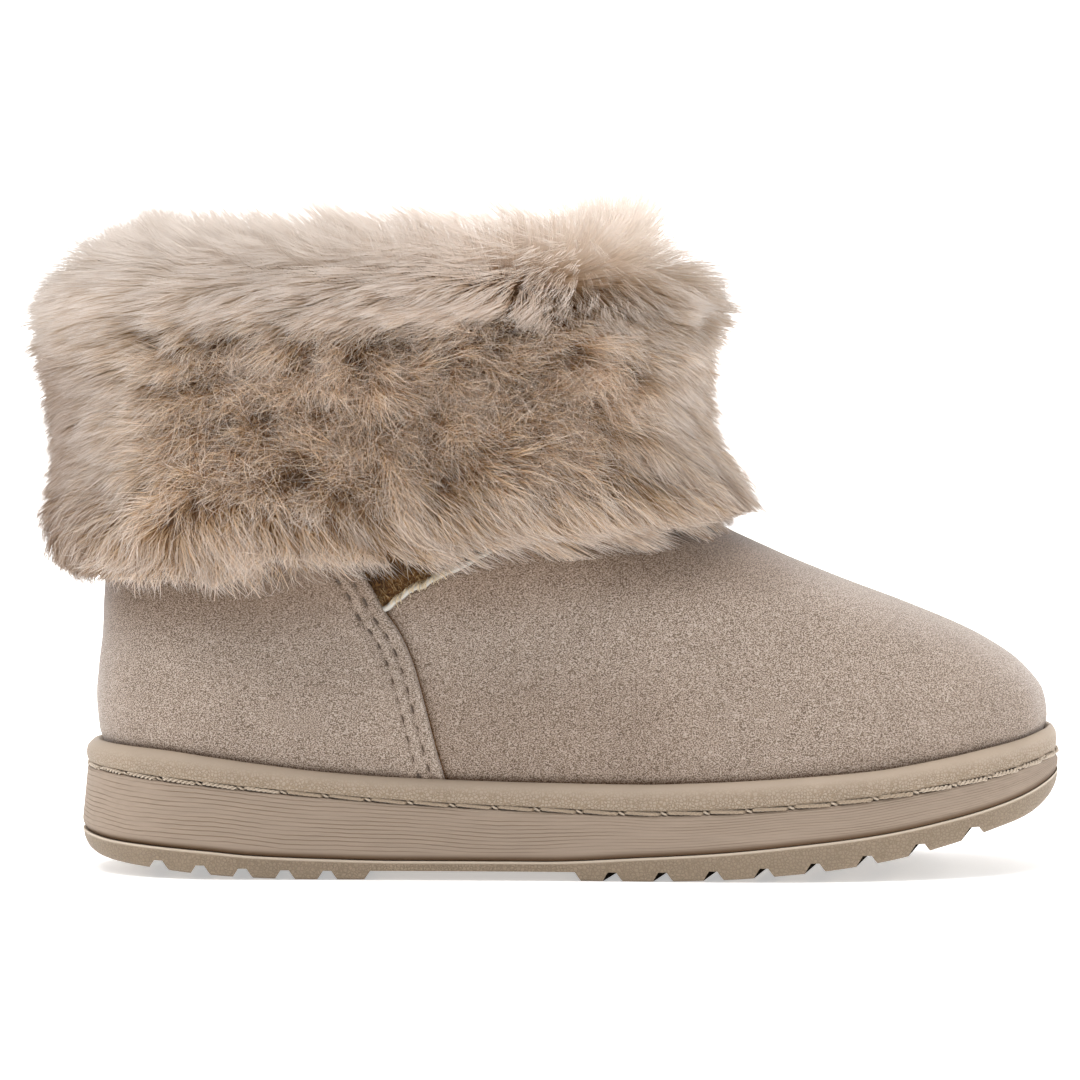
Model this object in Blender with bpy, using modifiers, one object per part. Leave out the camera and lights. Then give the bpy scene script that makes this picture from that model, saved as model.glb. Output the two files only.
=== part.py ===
"""A child's fur-cuffed ankle boot for the right foot, as an assembly of separate pieces.

+X runs from the heel to the toe, +Y to the boot's inner (medial) side, and +Z is up. The origin lies on the ground,
midway between the toe and the back of the cuff. Tables are in millimetres and start at the back of the heel, and each
mesh is made in metres. Every closed outline has the same number of points: from the heel along the outer (lateral)
side to the toe, and back along the inner side, so that any two of them can be lofted together.
"""

import math
from collections import namedtuple

import bmesh
import bpy
from mathutils import Vector

MM = 0.001
SHARP_ANGLE = math.radians(40)

# Driving sizes, in millimetres
SOLE_LENGTH = 190.0
ORIGIN_STATION = 90.7
GAP = 0.3
UPPER_WALL = 2.2
UPPER_TOP = 114.0
INSOLE_THICKNESS = 3.5
INSOLE_CLEARANCE = 0.7
INSOLE_ROUND = 0.8
CUFF_TOP = 125.0
CUFF_CLEARANCE = 0.6
CUFF_HEM_BACK = 56.5
CUFF_HEM_FRONT = 64.0
CUFF_RISES_INSIDE = [0.52, 0.62, 0.74]
CUFF_RISES_OUTSIDE = [0.7, 0.55, 0.42, 0.32, 0.24, 0.16, 0.08, 0.0]

# The tread: lugs stand on the outsole's plate, cut apart by grooves that are wider at the mouth
LUG_HEIGHT = 1.8
GROOVE_MOUTH = 3.2
GROOVE_FLOOR = 1.5
CUTTER_BELOW = 2.6
CUTTER_REACH = 50.0
SOLE_HALF = 35.0
HEEL_GROOVES = {"first": 16.0, "pitch": 8.1, "count": 5, "sweep": 0.0}
FOREFOOT_GROOVES = {"first": 102.1, "pitch": 9.75, "count": 8, "sweep": 6.0}
ARCH_BACK = 56.6
ARCH_FRONT = 95.6
ARCH_END_SLOPE = 1.2

# Each outline is drawn at this many steps from heel to toe, closer together at both ends
STEPS = 31
AROUND = 2 * STEPS

# The sole's plan: half widths on each side of a centre line that swings to the inner side at the toe. The side wall
# and the welt stand in from it at the heel, and by WALL_TAPER of that at the toe
PlanRow = namedtuple("PlanRow", "share lateral medial centre")
PLAN = [
    PlanRow(0.00, 28.0, 28.0, 0.0),
    PlanRow(0.15, 28.6, 28.3, 0.0),
    PlanRow(0.30, 28.9, 27.2, 0.0),
    PlanRow(0.45, 30.3, 26.3, 0.0),
    PlanRow(0.60, 33.3, 29.6, 0.3),
    PlanRow(0.74, 35.6, 34.0, 1.3),
    PlanRow(0.87, 35.9, 35.2, 3.0),
    PlanRow(1.00, 35.9, 35.0, 5.0),
]
WALL_TAPER = 0.4
HEEL_ROUND = 0.15
HEEL_POWER = 2.15
TOE_ROUND = 0.27
TOE_POWER = 2.3

# The sole's side view: heights of the ground line, outsole joint, stitched seam and welt top along its length
SideRow = namedtuple("SideRow", "share ground joint seam welt_top")
SIDE = [
    SideRow(0.000, 5.8, 8.0, 20.5, 25.4),
    SideRow(0.012, 3.9, 7.5, 20.4, 25.3),
    SideRow(0.032, 2.8, 6.9, 20.1, 25.1),
    SideRow(0.080, 1.8, 6.2, 19.2, 24.6),
    SideRow(0.130, 0.9, 5.5, 18.3, 23.4),
    SideRow(0.180, 0.3, 4.6, 17.3, 22.1),
    SideRow(0.240, 0.0, 4.1, 16.3, 20.7),
    SideRow(0.330, 0.0, 3.7, 14.9, 19.5),
    SideRow(0.470, 0.0, 3.7, 13.6, 18.7),
    SideRow(0.570, 0.0, 4.6, 13.0, 18.5),
    SideRow(0.640, 0.3, 5.4, 13.3, 18.9),
    SideRow(0.730, 1.6, 7.1, 14.5, 19.9),
    SideRow(0.810, 3.7, 9.0, 16.1, 21.1),
    SideRow(0.880, 6.7, 11.5, 18.0, 23.1),
    SideRow(0.925, 9.2, 13.5, 19.5, 24.7),
    SideRow(0.961, 11.3, 15.6, 21.0, 26.0),
    SideRow(0.985, 14.0, 17.6, 22.2, 27.2),
    SideRow(1.000, 17.0, 19.2, 22.7, 27.8),
]

# Sections of the last by height: where the heel's back and the front profile stand, how full the foot's plan is
# there, the shaft's half width, and how far the section has turned from the foot's plan into the shaft's oval
LastRow = namedtuple("LastRow", "height back front fullness half_width oval")
LAST = [
    LastRow(13.0, 4.1, 186.2, 1.00, 30.0, 0.0),
    LastRow(22.0, 4.0, 186.9, 1.00, 30.0, 0.0),
    LastRow(28.0, 3.4, 187.8, 1.02, 30.0, 0.0),
    LastRow(34.0, 3.0, 187.0, 1.02, 30.0, 0.0),
    LastRow(39.0, 3.4, 183.4, 1.00, 30.0, 0.02),
    LastRow(45.0, 4.0, 174.8, 0.97, 30.0, 0.1),
    LastRow(51.0, 4.3, 161.0, 0.94, 30.0, 0.2),
    LastRow(57.0, 4.7, 145.2, 0.91, 30.3, 0.4),
    LastRow(62.6, 5.3, 131.9, 0.88, 30.8, 0.6),
    LastRow(68.0, 5.9, 121.5, 0.86, 31.2, 0.8),
    LastRow(76.0, 6.8, 112.5, 0.85, 31.6, 1.0),
    LastRow(86.0, 8.0, 107.0, 0.85, 32.0, 1.0),
    LastRow(98.0, 9.2, 105.0, 0.85, 32.3, 1.0),
    LastRow(114.0, 10.2, 104.6, 0.85, 32.5, 1.0),
]
UPPER_INSET = 3.6
UPPER_FOOT = 5.6
UPPER_HEIGHTS = [
    *(30.0, 34.0, 37.5, 41.0, 44.5, 48.0, 51.5, 55.5, 60.0),
    *(63.5, 67.0, 70.5, 75.0, 80.5, 88.0, 100.0, UPPER_TOP),
]
OVAL_POWER = 2.1

# The faces of the sole's three layers: how far in from the plan, by rise from the layer's foot to its top
EdgeRow = namedtuple("EdgeRow", "inset rise")
OUTSOLE_EDGE = [
    EdgeRow(2.4, 0.0),
    EdgeRow(0.9, 0.14),
    EdgeRow(0.25, 0.45),
    EdgeRow(0.0, 0.93),
    EdgeRow(0.35, 1.0),
]
MIDSOLE_EDGE = [
    EdgeRow(0.9, 0.0),
    EdgeRow(0.4, 0.04),
    EdgeRow(1.1, 0.93),
    EdgeRow(2.1, 1.0),
]
WELT_EDGE = [
    EdgeRow(2.1, 0.07),
    EdgeRow(1.3, 0.12),
    EdgeRow(0.95, 0.30),
    EdgeRow(0.95, 0.52),
    EdgeRow(1.3, 0.80),
    EdgeRow(2.1, 0.97),
    EdgeRow(2.9, 1.0),
]
WELT_BACK = [0.93, 0.07]

# The cuff's section: how far the fur stands out from the upper, or in where it lines the shaft, by rise from the hem
FurRow = namedtuple("FurRow", "rise depth")
FUR_OUTSIDE = [
    FurRow(0.00, 1.2),
    FurRow(0.05, 5.5),
    FurRow(0.14, 11.5),
    FurRow(0.30, 15.5),
    FurRow(0.55, 16.5),
    FurRow(0.74, 17.5),
    FurRow(0.87, 17.0),
    FurRow(0.95, 13.0),
    FurRow(1.00, 5.5),
]
FUR_INSIDE = [
    FurRow(1.00, -1.5),
    FurRow(0.96, -5.5),
    FurRow(0.88, -8.0),
    FurRow(0.68, -8.0),
    FurRow(0.52, -6.0),
]


# ---------------------------------------------------------------- curves through the tables


def slopes(places, values):
    """Slopes at each place for a curve that passes every value and never overshoots one."""
    steps = [
        (after - before) / (end - start)
        for before, after, start, end in zip(values, values[1:], places, places[1:])
    ]
    inner = [
        0.0 if before * after <= 0 else 2 * before * after / (before + after)
        for before, after in zip(steps, steps[1:])
    ]
    return [steps[0], *inner, steps[-1]]


def read(table, column, place):
    """A column's value at a place in the table's first column, on a smooth curve through the rows."""
    places = [row[0] for row in table]
    values = [getattr(row, column) for row in table]
    place = min(max(place, places[0]), places[-1])
    row = max(0, min(len(places) - 2, sum(start <= place for start in places) - 1))
    slope = slopes(places, values)
    span = places[row + 1] - places[row]
    t = (place - places[row]) / span
    return (
        (2 * t**3 - 3 * t**2 + 1) * values[row]
        + (t**3 - 2 * t**2 + t) * span * slope[row]
        + (3 * t**2 - 2 * t**3) * values[row + 1]
        + (t**3 - t**2) * span * slope[row + 1]
    )


def side_height(column, station):
    return read(SIDE, column, station / SOLE_LENGTH)


def mix(start, end, share):
    return start + (end - start) * share


# ---------------------------------------------------------------- outlines and sections


def place_of(index):
    """(share of the length, side) of a point of an outline; side is -1 on the outer side and 1 on the inner."""
    step = index if index <= STEPS else AROUND - index
    share = (1 - math.cos(math.pi * step / STEPS)) / 2
    return share, (-1 if index <= STEPS else 1)


def end_round(share):
    """1 along the sides of the sole, falling to 0 at the round heel and toe."""
    if share < HEEL_ROUND:
        return max(0.0, 1 - (1 - share / HEEL_ROUND) ** HEEL_POWER) ** (1 / HEEL_POWER)
    if share > 1 - TOE_ROUND:
        return max(0.0, 1 - (1 - (1 - share) / TOE_ROUND) ** TOE_POWER) ** (1 / TOE_POWER)
    return 1.0


def foot_width(share, side, inset):
    """Half width of the foot's plan on one side, drawn in by an inset."""
    column = "lateral" if side < 0 else "medial"
    return (read(PLAN, column, share) - inset) * end_round(share)


def sole_outline(inset, height, taper=1.0):
    """The sole's outline, drawn in by an inset, at the height that a function gives for each station.

    At the toe the inset is its share taper of what it is at the heel.
    """
    ring = []
    for index in range(AROUND):
        share, side = place_of(index)
        station = mix(inset, SOLE_LENGTH - taper * inset, share)
        across = read(PLAN, "centre", share) + side * foot_width(share, side, inset * mix(1.0, taper, share))
        ring.append(Vector((station, across, height(station))))
    return ring


def last_point(index, height):
    """The point of the upper's outside at an outline index and a height."""
    share, side = place_of(index)
    back, front = read(LAST, "back", height), read(LAST, "front", height)
    oval_share = read(LAST, "oval", height)
    foot = foot_width(share, side, UPPER_INSET) * read(LAST, "fullness", height)
    round_share = max(0.0, 1 - abs(2 * share - 1) ** OVAL_POWER) ** (1 / OVAL_POWER)
    oval = read(LAST, "half_width", height) * round_share
    centre = read(PLAN, "centre", share) * (1 - oval_share)
    return Vector((mix(back, front, share), centre + side * mix(foot, oval, oval_share), height))


def grown(ring, distance):
    """A ring moved out, level, along its own normals. A negative distance moves it in."""
    moved = []
    for index, point in enumerate(ring):
        along = ring[(index + 1) % len(ring)] - ring[index - 1]
        outward = Vector((along.y, -along.x, 0)).normalized()
        moved.append(point + outward * distance)
    return moved


def last_ring(height, distance=0.0):
    """A ring of the upper's outside, moved out. The height is a number, or a function of the share from heel to toe."""
    heights = [height(place_of(index)[0]) if callable(height) else height for index in range(AROUND)]
    return grown([last_point(index, z) for index, z in enumerate(heights)], distance)


def above_seam(rise):
    """Height of a point that stands a distance above the stitched seam, by share of the sole's length."""
    return lambda share: read(SIDE, "seam", share) + rise


def cuff_height(rise):
    """Height of a point of the cuff by rise from hem to top; the hem climbs towards the front."""
    return lambda share: mix(mix(CUFF_HEM_BACK, CUFF_HEM_FRONT, share), CUFF_TOP, rise)


# ---------------------------------------------------------------- meshes


def add_rings(mesh, rings):
    """Adds rings to a bmesh, in metres and from the origin, joined each to the next by faces that point out."""
    shift = Vector((ORIGIN_STATION, 0, 0))
    rows = [[mesh.verts.new((point - shift) * MM) for point in ring] for ring in rings]
    for low, high in zip(rows, rows[1:]):
        bridge(mesh, low, high)
    return rows


def bridge(mesh, low, high):
    for index in range(len(low)):
        after = (index + 1) % len(low)
        mesh.faces.new((low[index], low[after], high[after], high[index]))


def close_end(mesh, row, faces_up):
    """Closes an outline with strips from its outer side to its inner side."""
    for step in range(STEPS):
        corners = [row[step], row[step + 1], row[AROUND - step - 1], row[-step]]
        strip = list(dict.fromkeys(corners))
        mesh.faces.new(strip if faces_up else strip[::-1])


def new_object(name, mesh, collection):
    data = bpy.data.meshes.new(name)
    bmesh.ops.triangulate(mesh, faces=[face for face in mesh.faces if len(face.verts) > 4])
    mesh.to_mesh(data)
    mesh.free()
    data.shade_smooth()
    data.set_sharp_from_angle(angle=SHARP_ANGLE)
    obj = bpy.data.objects.new(name, data)
    collection.objects.link(obj)
    return obj


def block(name, rings, collection):
    """A solid between a lowest and a highest outline."""
    mesh = bmesh.new()
    rows = add_rings(mesh, rings)
    close_end(mesh, rows[0], faces_up=False)
    close_end(mesh, rows[-1], faces_up=True)
    return new_object(name, mesh, collection)


def hoop(name, rings, collection):
    """A solid that goes once round the boot, whose section runs through the rings and back to the first."""
    mesh = bmesh.new()
    rows = add_rings(mesh, rings)
    bridge(mesh, rows[-1], rows[0])
    return new_object(name, mesh, collection)


def dress(obj, name, colour, roughness):
    material = bpy.data.materials.new(name)
    material.use_nodes = True
    shader = material.node_tree.nodes["Principled BSDF"]
    shader.inputs["Base Color"].default_value = (*colour, 1.0)
    shader.inputs["Roughness"].default_value = roughness
    shader.inputs["Metallic"].default_value = 0.0
    obj.data.materials.append(material)


# ---------------------------------------------------------------- the sole


def tread_section(station):
    """A groove's section across the sole, as four points from its mouth to its floor."""
    ground = side_height("ground", station)
    flare = (GROOVE_MOUTH - GROOVE_FLOOR) / 2 / LUG_HEIGHT
    mouth = GROOVE_FLOOR / 2 + flare * (LUG_HEIGHT + CUTTER_BELOW)
    bottom, floor = ground - CUTTER_BELOW, ground + LUG_HEIGHT
    return [
        (station - mouth, bottom),
        (station + mouth, bottom),
        (station + GROOVE_FLOOR / 2, floor),
        (station - GROOVE_FLOOR / 2, floor),
    ]


def arch_section():
    """The recess between heel and forefoot, with sloping ends."""
    spread = ARCH_END_SLOPE * CUTTER_BELOW / LUG_HEIGHT
    return [
        (ARCH_BACK - ARCH_END_SLOPE - spread, -CUTTER_BELOW),
        (ARCH_FRONT + ARCH_END_SLOPE + spread, -CUTTER_BELOW),
        (ARCH_FRONT, LUG_HEIGHT),
        (ARCH_BACK, LUG_HEIGHT),
    ]


def add_bar(mesh, sections):
    """A bar across the sole, from the outer side to the inner, through (across, section) pairs."""
    rings = [[Vector((x, across, z)) for x, z in section] for across, section in sections]
    rows = add_rings(mesh, rings)
    mesh.faces.new(rows[0][::-1])
    mesh.faces.new(rows[-1])


def tread_cutter(collection):
    """Every groove and the arch, as bars to be cut from the outsole. The forefoot's grooves are chevrons."""
    mesh = bmesh.new()
    for grooves in (HEEL_GROOVES, FOREFOOT_GROOVES):
        for number in range(grooves["count"]):
            station = grooves["first"] + grooves["pitch"] * number
            peak = tread_section(station + grooves["sweep"])
            edge = tread_section(station - grooves["sweep"] * (CUTTER_REACH / SOLE_HALF - 1))
            add_bar(mesh, [(-CUTTER_REACH, edge), (0.0, peak), (CUTTER_REACH, edge)])
    add_bar(mesh, [(-CUTTER_REACH, arch_section()), (CUTTER_REACH, arch_section())])
    bmesh.ops.recalc_face_normals(mesh, faces=mesh.faces)
    cutter = new_object("tread_cutter", mesh, collection)
    cutter.hide_render = True
    cutter.display_type = "WIRE"
    return cutter


def between(low, high, share):
    """The height, by station, at a share of the way between two lines of the side view."""
    return lambda station: mix(side_height(low, station), side_height(high, station), share)


def outsole(collection, cutters):
    """The bottom, rounded under at its edge, with the tread cut into it."""
    rings = [sole_outline(row.inset, between("ground", "joint", row.rise)) for row in OUTSOLE_EDGE]
    piece = block("outsole", rings, collection)
    cut = piece.modifiers.new("tread", "BOOLEAN")
    cut.operation = "DIFFERENCE"
    cut.object = tread_cutter(cutters)
    dress(piece, "moulded rubber", (0.36, 0.29, 0.22), 0.65)


def midsole(collection):
    """The thick side wall, leaning in a little towards the seam, solid through to the footbed."""

    def height(rise):
        return lambda station: between("joint", "seam", rise)(station) + GAP * (1 - rise)

    rings = [sole_outline(row.inset, height(row.rise), WALL_TAPER) for row in MIDSOLE_EDGE]
    piece = block("midsole", rings, collection)
    dress(piece, "moulded foam rubber", (0.40, 0.33, 0.26), 0.6)


def welt(collection):
    """The rounded rim on the midsole, from its face round to the upper's foot."""
    face = [sole_outline(row.inset, between("seam", "welt_top", row.rise), WALL_TAPER) for row in WELT_EDGE]

    def back(rise):
        return last_ring(lambda share: mix(read(SIDE, "seam", share), read(SIDE, "welt_top", share), rise), GAP)

    piece = hoop("welt", [*face, *(back(rise) for rise in WELT_BACK)], collection)
    dress(piece, "pebbled rubber", (0.43, 0.35, 0.27), 0.6)


def insole(collection):
    """The footbed, which lies on the midsole inside the upper."""
    inward = -(UPPER_WALL + INSOLE_CLEARANCE)
    top = GAP + INSOLE_THICKNESS
    rings = [
        last_ring(above_seam(GAP), inward),
        last_ring(above_seam(top - INSOLE_ROUND), inward),
        last_ring(above_seam(top), inward - INSOLE_ROUND),
    ]
    piece = block("insole", rings, collection)
    dress(piece, "fleece footbed", (0.60, 0.52, 0.44), 0.95)


# ---------------------------------------------------------------- the upper and its cuff


def upper(collection):
    """Vamp, quarter and shaft as one wall, open at the collar and underneath."""
    levels = [above_seam(GAP), above_seam(UPPER_FOOT), *UPPER_HEIGHTS]
    mesh = bmesh.new()
    add_rings(mesh, [last_ring(level) for level in levels])
    piece = new_object("upper", mesh, collection)
    wall = piece.modifiers.new("wall", "SOLIDIFY")
    wall.thickness = UPPER_WALL * MM
    wall.offset = -1
    dress(piece, "imitation suede", (0.36, 0.28, 0.22), 0.9)


def fur_cuff(collection):
    """The cuff: up outside the shaft, over its top edge and down inside, then back along the shaft's two faces."""
    rings = [last_ring(cuff_height(row.rise), row.depth) for row in [*FUR_OUTSIDE, *FUR_INSIDE]]
    over_edge = UPPER_TOP + CUFF_CLEARANCE
    inner_face = -(UPPER_WALL + CUFF_CLEARANCE)
    rings += [last_ring(cuff_height(rise), inner_face) for rise in CUFF_RISES_INSIDE]
    rings += [last_ring(over_edge, inner_face), last_ring(over_edge, CUFF_CLEARANCE)]
    rings += [last_ring(cuff_height(rise), CUFF_CLEARANCE) for rise in CUFF_RISES_OUTSIDE]
    piece = hoop("fur_cuff", rings, collection)
    dress(piece, "imitation fur", (0.56, 0.45, 0.36), 1.0)


def main():
    for obj in list(bpy.data.objects):
        bpy.data.objects.remove(obj)
    boot = bpy.data.collections.new("ankle boot")
    cutters = bpy.data.collections.new("cutters")
    for collection in (boot, cutters):
        bpy.context.scene.collection.children.link(collection)
    outsole(boot, cutters)
    midsole(boot)
    welt(boot)
    insole(boot)
    upper(boot)
    fur_cuff(boot)


main()
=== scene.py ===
"""The looks of a child's fur-cuffed ankle boot for the right foot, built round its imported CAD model.

+X runs from the heel to the toe, +Y to the boot's inner (medial) side and +Z is up. Tables are in
millimetres, with stations measured from the back of the sole, and each mesh is made in metres. The boot is
put together as a maker would: a unit sole with a stitched welt, a bootee of pile fabric, two suede panels
over it, and the fur cuff. A sheet's functions read shares from 0 to 1, across round the boot and up it.
"""

from __future__ import annotations

import logging
import math
import sys
from collections.abc import Callable, Sequence
from dataclasses import dataclass
from enum import Enum

import bmesh
import bpy
import numpy as np
from bpy.types import Material, Mesh, Node, NodeSocket, Object
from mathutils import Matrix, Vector
from mathutils.kdtree import KDTree


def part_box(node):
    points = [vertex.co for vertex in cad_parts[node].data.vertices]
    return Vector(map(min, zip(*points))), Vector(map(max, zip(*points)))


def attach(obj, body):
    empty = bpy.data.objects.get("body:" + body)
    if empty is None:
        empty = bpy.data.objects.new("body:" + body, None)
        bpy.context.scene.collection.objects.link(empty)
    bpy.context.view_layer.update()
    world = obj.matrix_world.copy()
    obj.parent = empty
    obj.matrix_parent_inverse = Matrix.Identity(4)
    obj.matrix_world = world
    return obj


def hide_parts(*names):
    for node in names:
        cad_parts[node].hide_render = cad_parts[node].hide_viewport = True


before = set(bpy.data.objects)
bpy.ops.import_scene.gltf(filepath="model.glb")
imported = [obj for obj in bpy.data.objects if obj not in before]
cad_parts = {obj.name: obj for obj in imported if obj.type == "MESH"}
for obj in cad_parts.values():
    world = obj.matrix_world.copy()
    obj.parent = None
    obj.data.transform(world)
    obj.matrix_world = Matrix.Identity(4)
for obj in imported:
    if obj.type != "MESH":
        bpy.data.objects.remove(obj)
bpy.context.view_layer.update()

LOG = logging.getLogger("boot")
MM = 0.001
TURN = 2 * math.pi

Array = np.ndarray
Place = Callable[[Array, Array], Array]
Section = tuple[tuple[float, ...], ...]


class Slot(Enum):
    """The record's material slots."""

    SUEDE = "suede"
    FUR = "fur"
    RIM = "rim"
    SIDE_WALL = "side_wall"
    TREAD = "tread"
    FOOTBED = "footbed"


# ---------------- curves through tables


@dataclass(frozen=True)
class Curve:
    """A smooth curve through a table's rows that never overshoots one.

    Attributes:
        places: where the rows stand, rising.
        values: the value at each place.
    """

    places: tuple[float, ...]
    values: tuple[float, ...]

    def __call__(self, place: Array) -> Array:
        """Reads the curve.

        Args:
            place: where to read it; beyond an end it keeps that end's value.

        Returns:
            The values there.
        """
        places, values = np.array(self.places), np.array(self.values)
        steps = np.diff(values) / np.diff(places)
        product, total = steps[:-1] * steps[1:], steps[:-1] + steps[1:]
        inner = np.where(product > 0, 2 * product / np.where(total == 0, 1, total), 0.0)
        slopes = np.concatenate([steps[:1], inner, steps[-1:]])
        place = np.clip(place, places[0], places[-1])
        row = np.clip(np.searchsorted(places, place, side="right") - 1, 0, len(places) - 2)
        span = places[row + 1] - places[row]
        t = (place - places[row]) / span
        return (
            (2 * t**3 - 3 * t**2 + 1) * values[row]
            + (t**3 - 2 * t**2 + t) * span * slopes[row]
            + (3 * t**2 - 2 * t**3) * values[row + 1]
            + (t**3 - t**2) * span * slopes[row + 1]
        )


def curves(names: str, rows: Sequence[Sequence[float]]) -> dict[str, Curve]:
    """Makes a curve of each column of a table.

    Args:
        names: the columns' names, the first being the places.
        rows: the table.

    Returns:
        A curve by each later column's name.
    """
    places, *columns = zip(*rows)
    return {name: Curve(places, column) for name, column in zip(names.split()[1:], columns)}


def mix(start: Array | float, end: Array | float, share: Array | float) -> Array:
    """Returns the value at a share of the way from start to end."""
    return start + (end - start) * share


def smooth(value: Array, low: float, high: float) -> Array:
    """Returns 0 below low and 1 above high, rising smoothly between them; low may be the greater."""
    t = np.clip((value - low) / (high - low), 0, 1)
    return t * t * (3 - 2 * t)


def bell(offset: Array, width: float) -> Array:
    """Returns 1 where an offset is 0, falling away on both sides over a width."""
    return np.exp(-((offset / width) ** 2))


def unit(vectors: Array) -> Array:
    """Returns vectors with their length made 1."""
    return vectors / np.maximum(np.linalg.norm(vectors, axis=-1, keepdims=True), 1e-9)


def read_line(place: Array, places: Array, line: Array) -> Array:
    """Returns the points of a line of points at places along it."""
    return np.stack([np.interp(place, places, line[:, axis]) for axis in range(3)], -1)


def ripple(points: Array, wavelength: float, seed: int, waves: int = 7) -> Array:
    """A soft irregular pattern in space, as a sum of plane waves.

    Args:
        points: where to read it, one row each.
        wavelength: the mean distance from crest to crest, in the points' unit.
        seed: which pattern it is.
        waves: how many plane waves are added.

    Returns:
        Values of about -1 to 1.
    """
    rng = np.random.default_rng(seed)
    direction = rng.normal(size=(points.shape[-1], waves))
    direction /= np.linalg.norm(direction, axis=0)
    pace = TURN / wavelength * rng.uniform(0.7, 1.45, waves)
    return np.sin(points @ direction * pace + rng.uniform(0, TURN, waves)).sum(-1) / math.sqrt(waves)


# ---------------- the boot's form

# The sole's plan: half widths on each side of a centre line that swings to the inner side at the toe
PLAN = curves("share lateral medial centre", (
    (0.00, 28.0, 28.0, 0.0),
    (0.15, 28.6, 28.3, 0.0),
    (0.30, 28.9, 27.2, 0.0),
    (0.45, 30.3, 26.3, 0.0),
    (0.60, 33.3, 29.6, 0.3),
    (0.74, 35.6, 34.0, 1.3),
    (0.87, 35.9, 35.2, 3.0),
    (1.00, 35.9, 35.0, 5.0),
))
# The sole's side view: ground line, outsole joint, stitched seam and welt top along its length
SIDE = curves("share ground joint seam welt_top", (
    (0.000, 5.8, 8.0, 20.5, 25.4),
    (0.012, 3.9, 7.5, 20.4, 25.3),
    (0.032, 2.8, 6.9, 20.1, 25.1),
    (0.080, 1.8, 6.2, 19.2, 24.6),
    (0.130, 0.9, 5.5, 18.3, 23.4),
    (0.180, 0.3, 4.6, 17.3, 22.1),
    (0.240, 0.0, 4.1, 16.3, 20.7),
    (0.330, 0.0, 3.7, 14.9, 19.5),
    (0.470, 0.0, 3.7, 13.6, 18.7),
    (0.570, 0.0, 4.6, 13.0, 18.5),
    (0.640, 0.3, 5.4, 13.3, 18.9),
    (0.730, 1.6, 7.1, 14.5, 19.9),
    (0.810, 3.7, 9.0, 16.1, 21.1),
    (0.880, 6.7, 11.5, 18.0, 23.1),
    (0.925, 9.2, 13.5, 19.5, 24.7),
    (0.961, 11.3, 15.6, 21.0, 26.0),
    (0.985, 14.0, 17.6, 22.2, 27.2),
    (1.000, 17.0, 19.2, 22.7, 27.8),
))
# Sections of the last by height, as in the CAD source
LAST = curves("height back front fullness half_width oval", (
    (13.0, 4.1, 186.2, 1.00, 30.0, 0.0),
    (22.0, 4.0, 186.9, 1.00, 30.0, 0.0),
    (28.0, 3.4, 187.8, 1.02, 30.0, 0.0),
    (34.0, 3.0, 187.0, 1.02, 30.0, 0.0),
    (39.0, 3.4, 183.4, 1.00, 30.0, 0.02),
    (45.0, 4.0, 174.8, 0.97, 30.0, 0.1),
    (51.0, 4.3, 161.0, 0.94, 30.0, 0.2),
    (57.0, 4.7, 145.2, 0.91, 30.3, 0.4),
    (62.6, 5.3, 131.9, 0.88, 30.8, 0.6),
    (68.0, 5.9, 121.5, 0.86, 31.2, 0.8),
    (76.0, 6.8, 112.5, 0.85, 31.6, 1.0),
    (86.0, 8.0, 107.0, 0.85, 32.0, 1.0),
    (98.0, 9.2, 105.0, 0.85, 32.3, 1.0),
    (114.0, 10.2, 104.6, 0.85, 32.5, 1.0),
))
HEEL_ROUND, HEEL_POWER = 0.15, 2.15
TOE_ROUND, TOE_POWER = 0.27, 2.3
WALL_TAPER = 0.4
UPPER_INSET = 3.6
OVAL_POWER = 2.1
GAP = 0.3
UPPER_TOP = 114.0


def round_end(share: Array, reach: float, power: float) -> Array:
    """Returns 1 away from an end of the sole, falling to 0 at it along a superellipse."""
    inward = np.clip(1 - share / reach, 0, 1)
    return np.clip(1 - inward**power, 0, 1) ** (1 / power)


def full_turn(across: Array) -> Array:
    """Returns the angles round the boot at shares of the way, from the toe by the inner side to the toe."""
    return (across * 2 - 1) * math.pi


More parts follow.
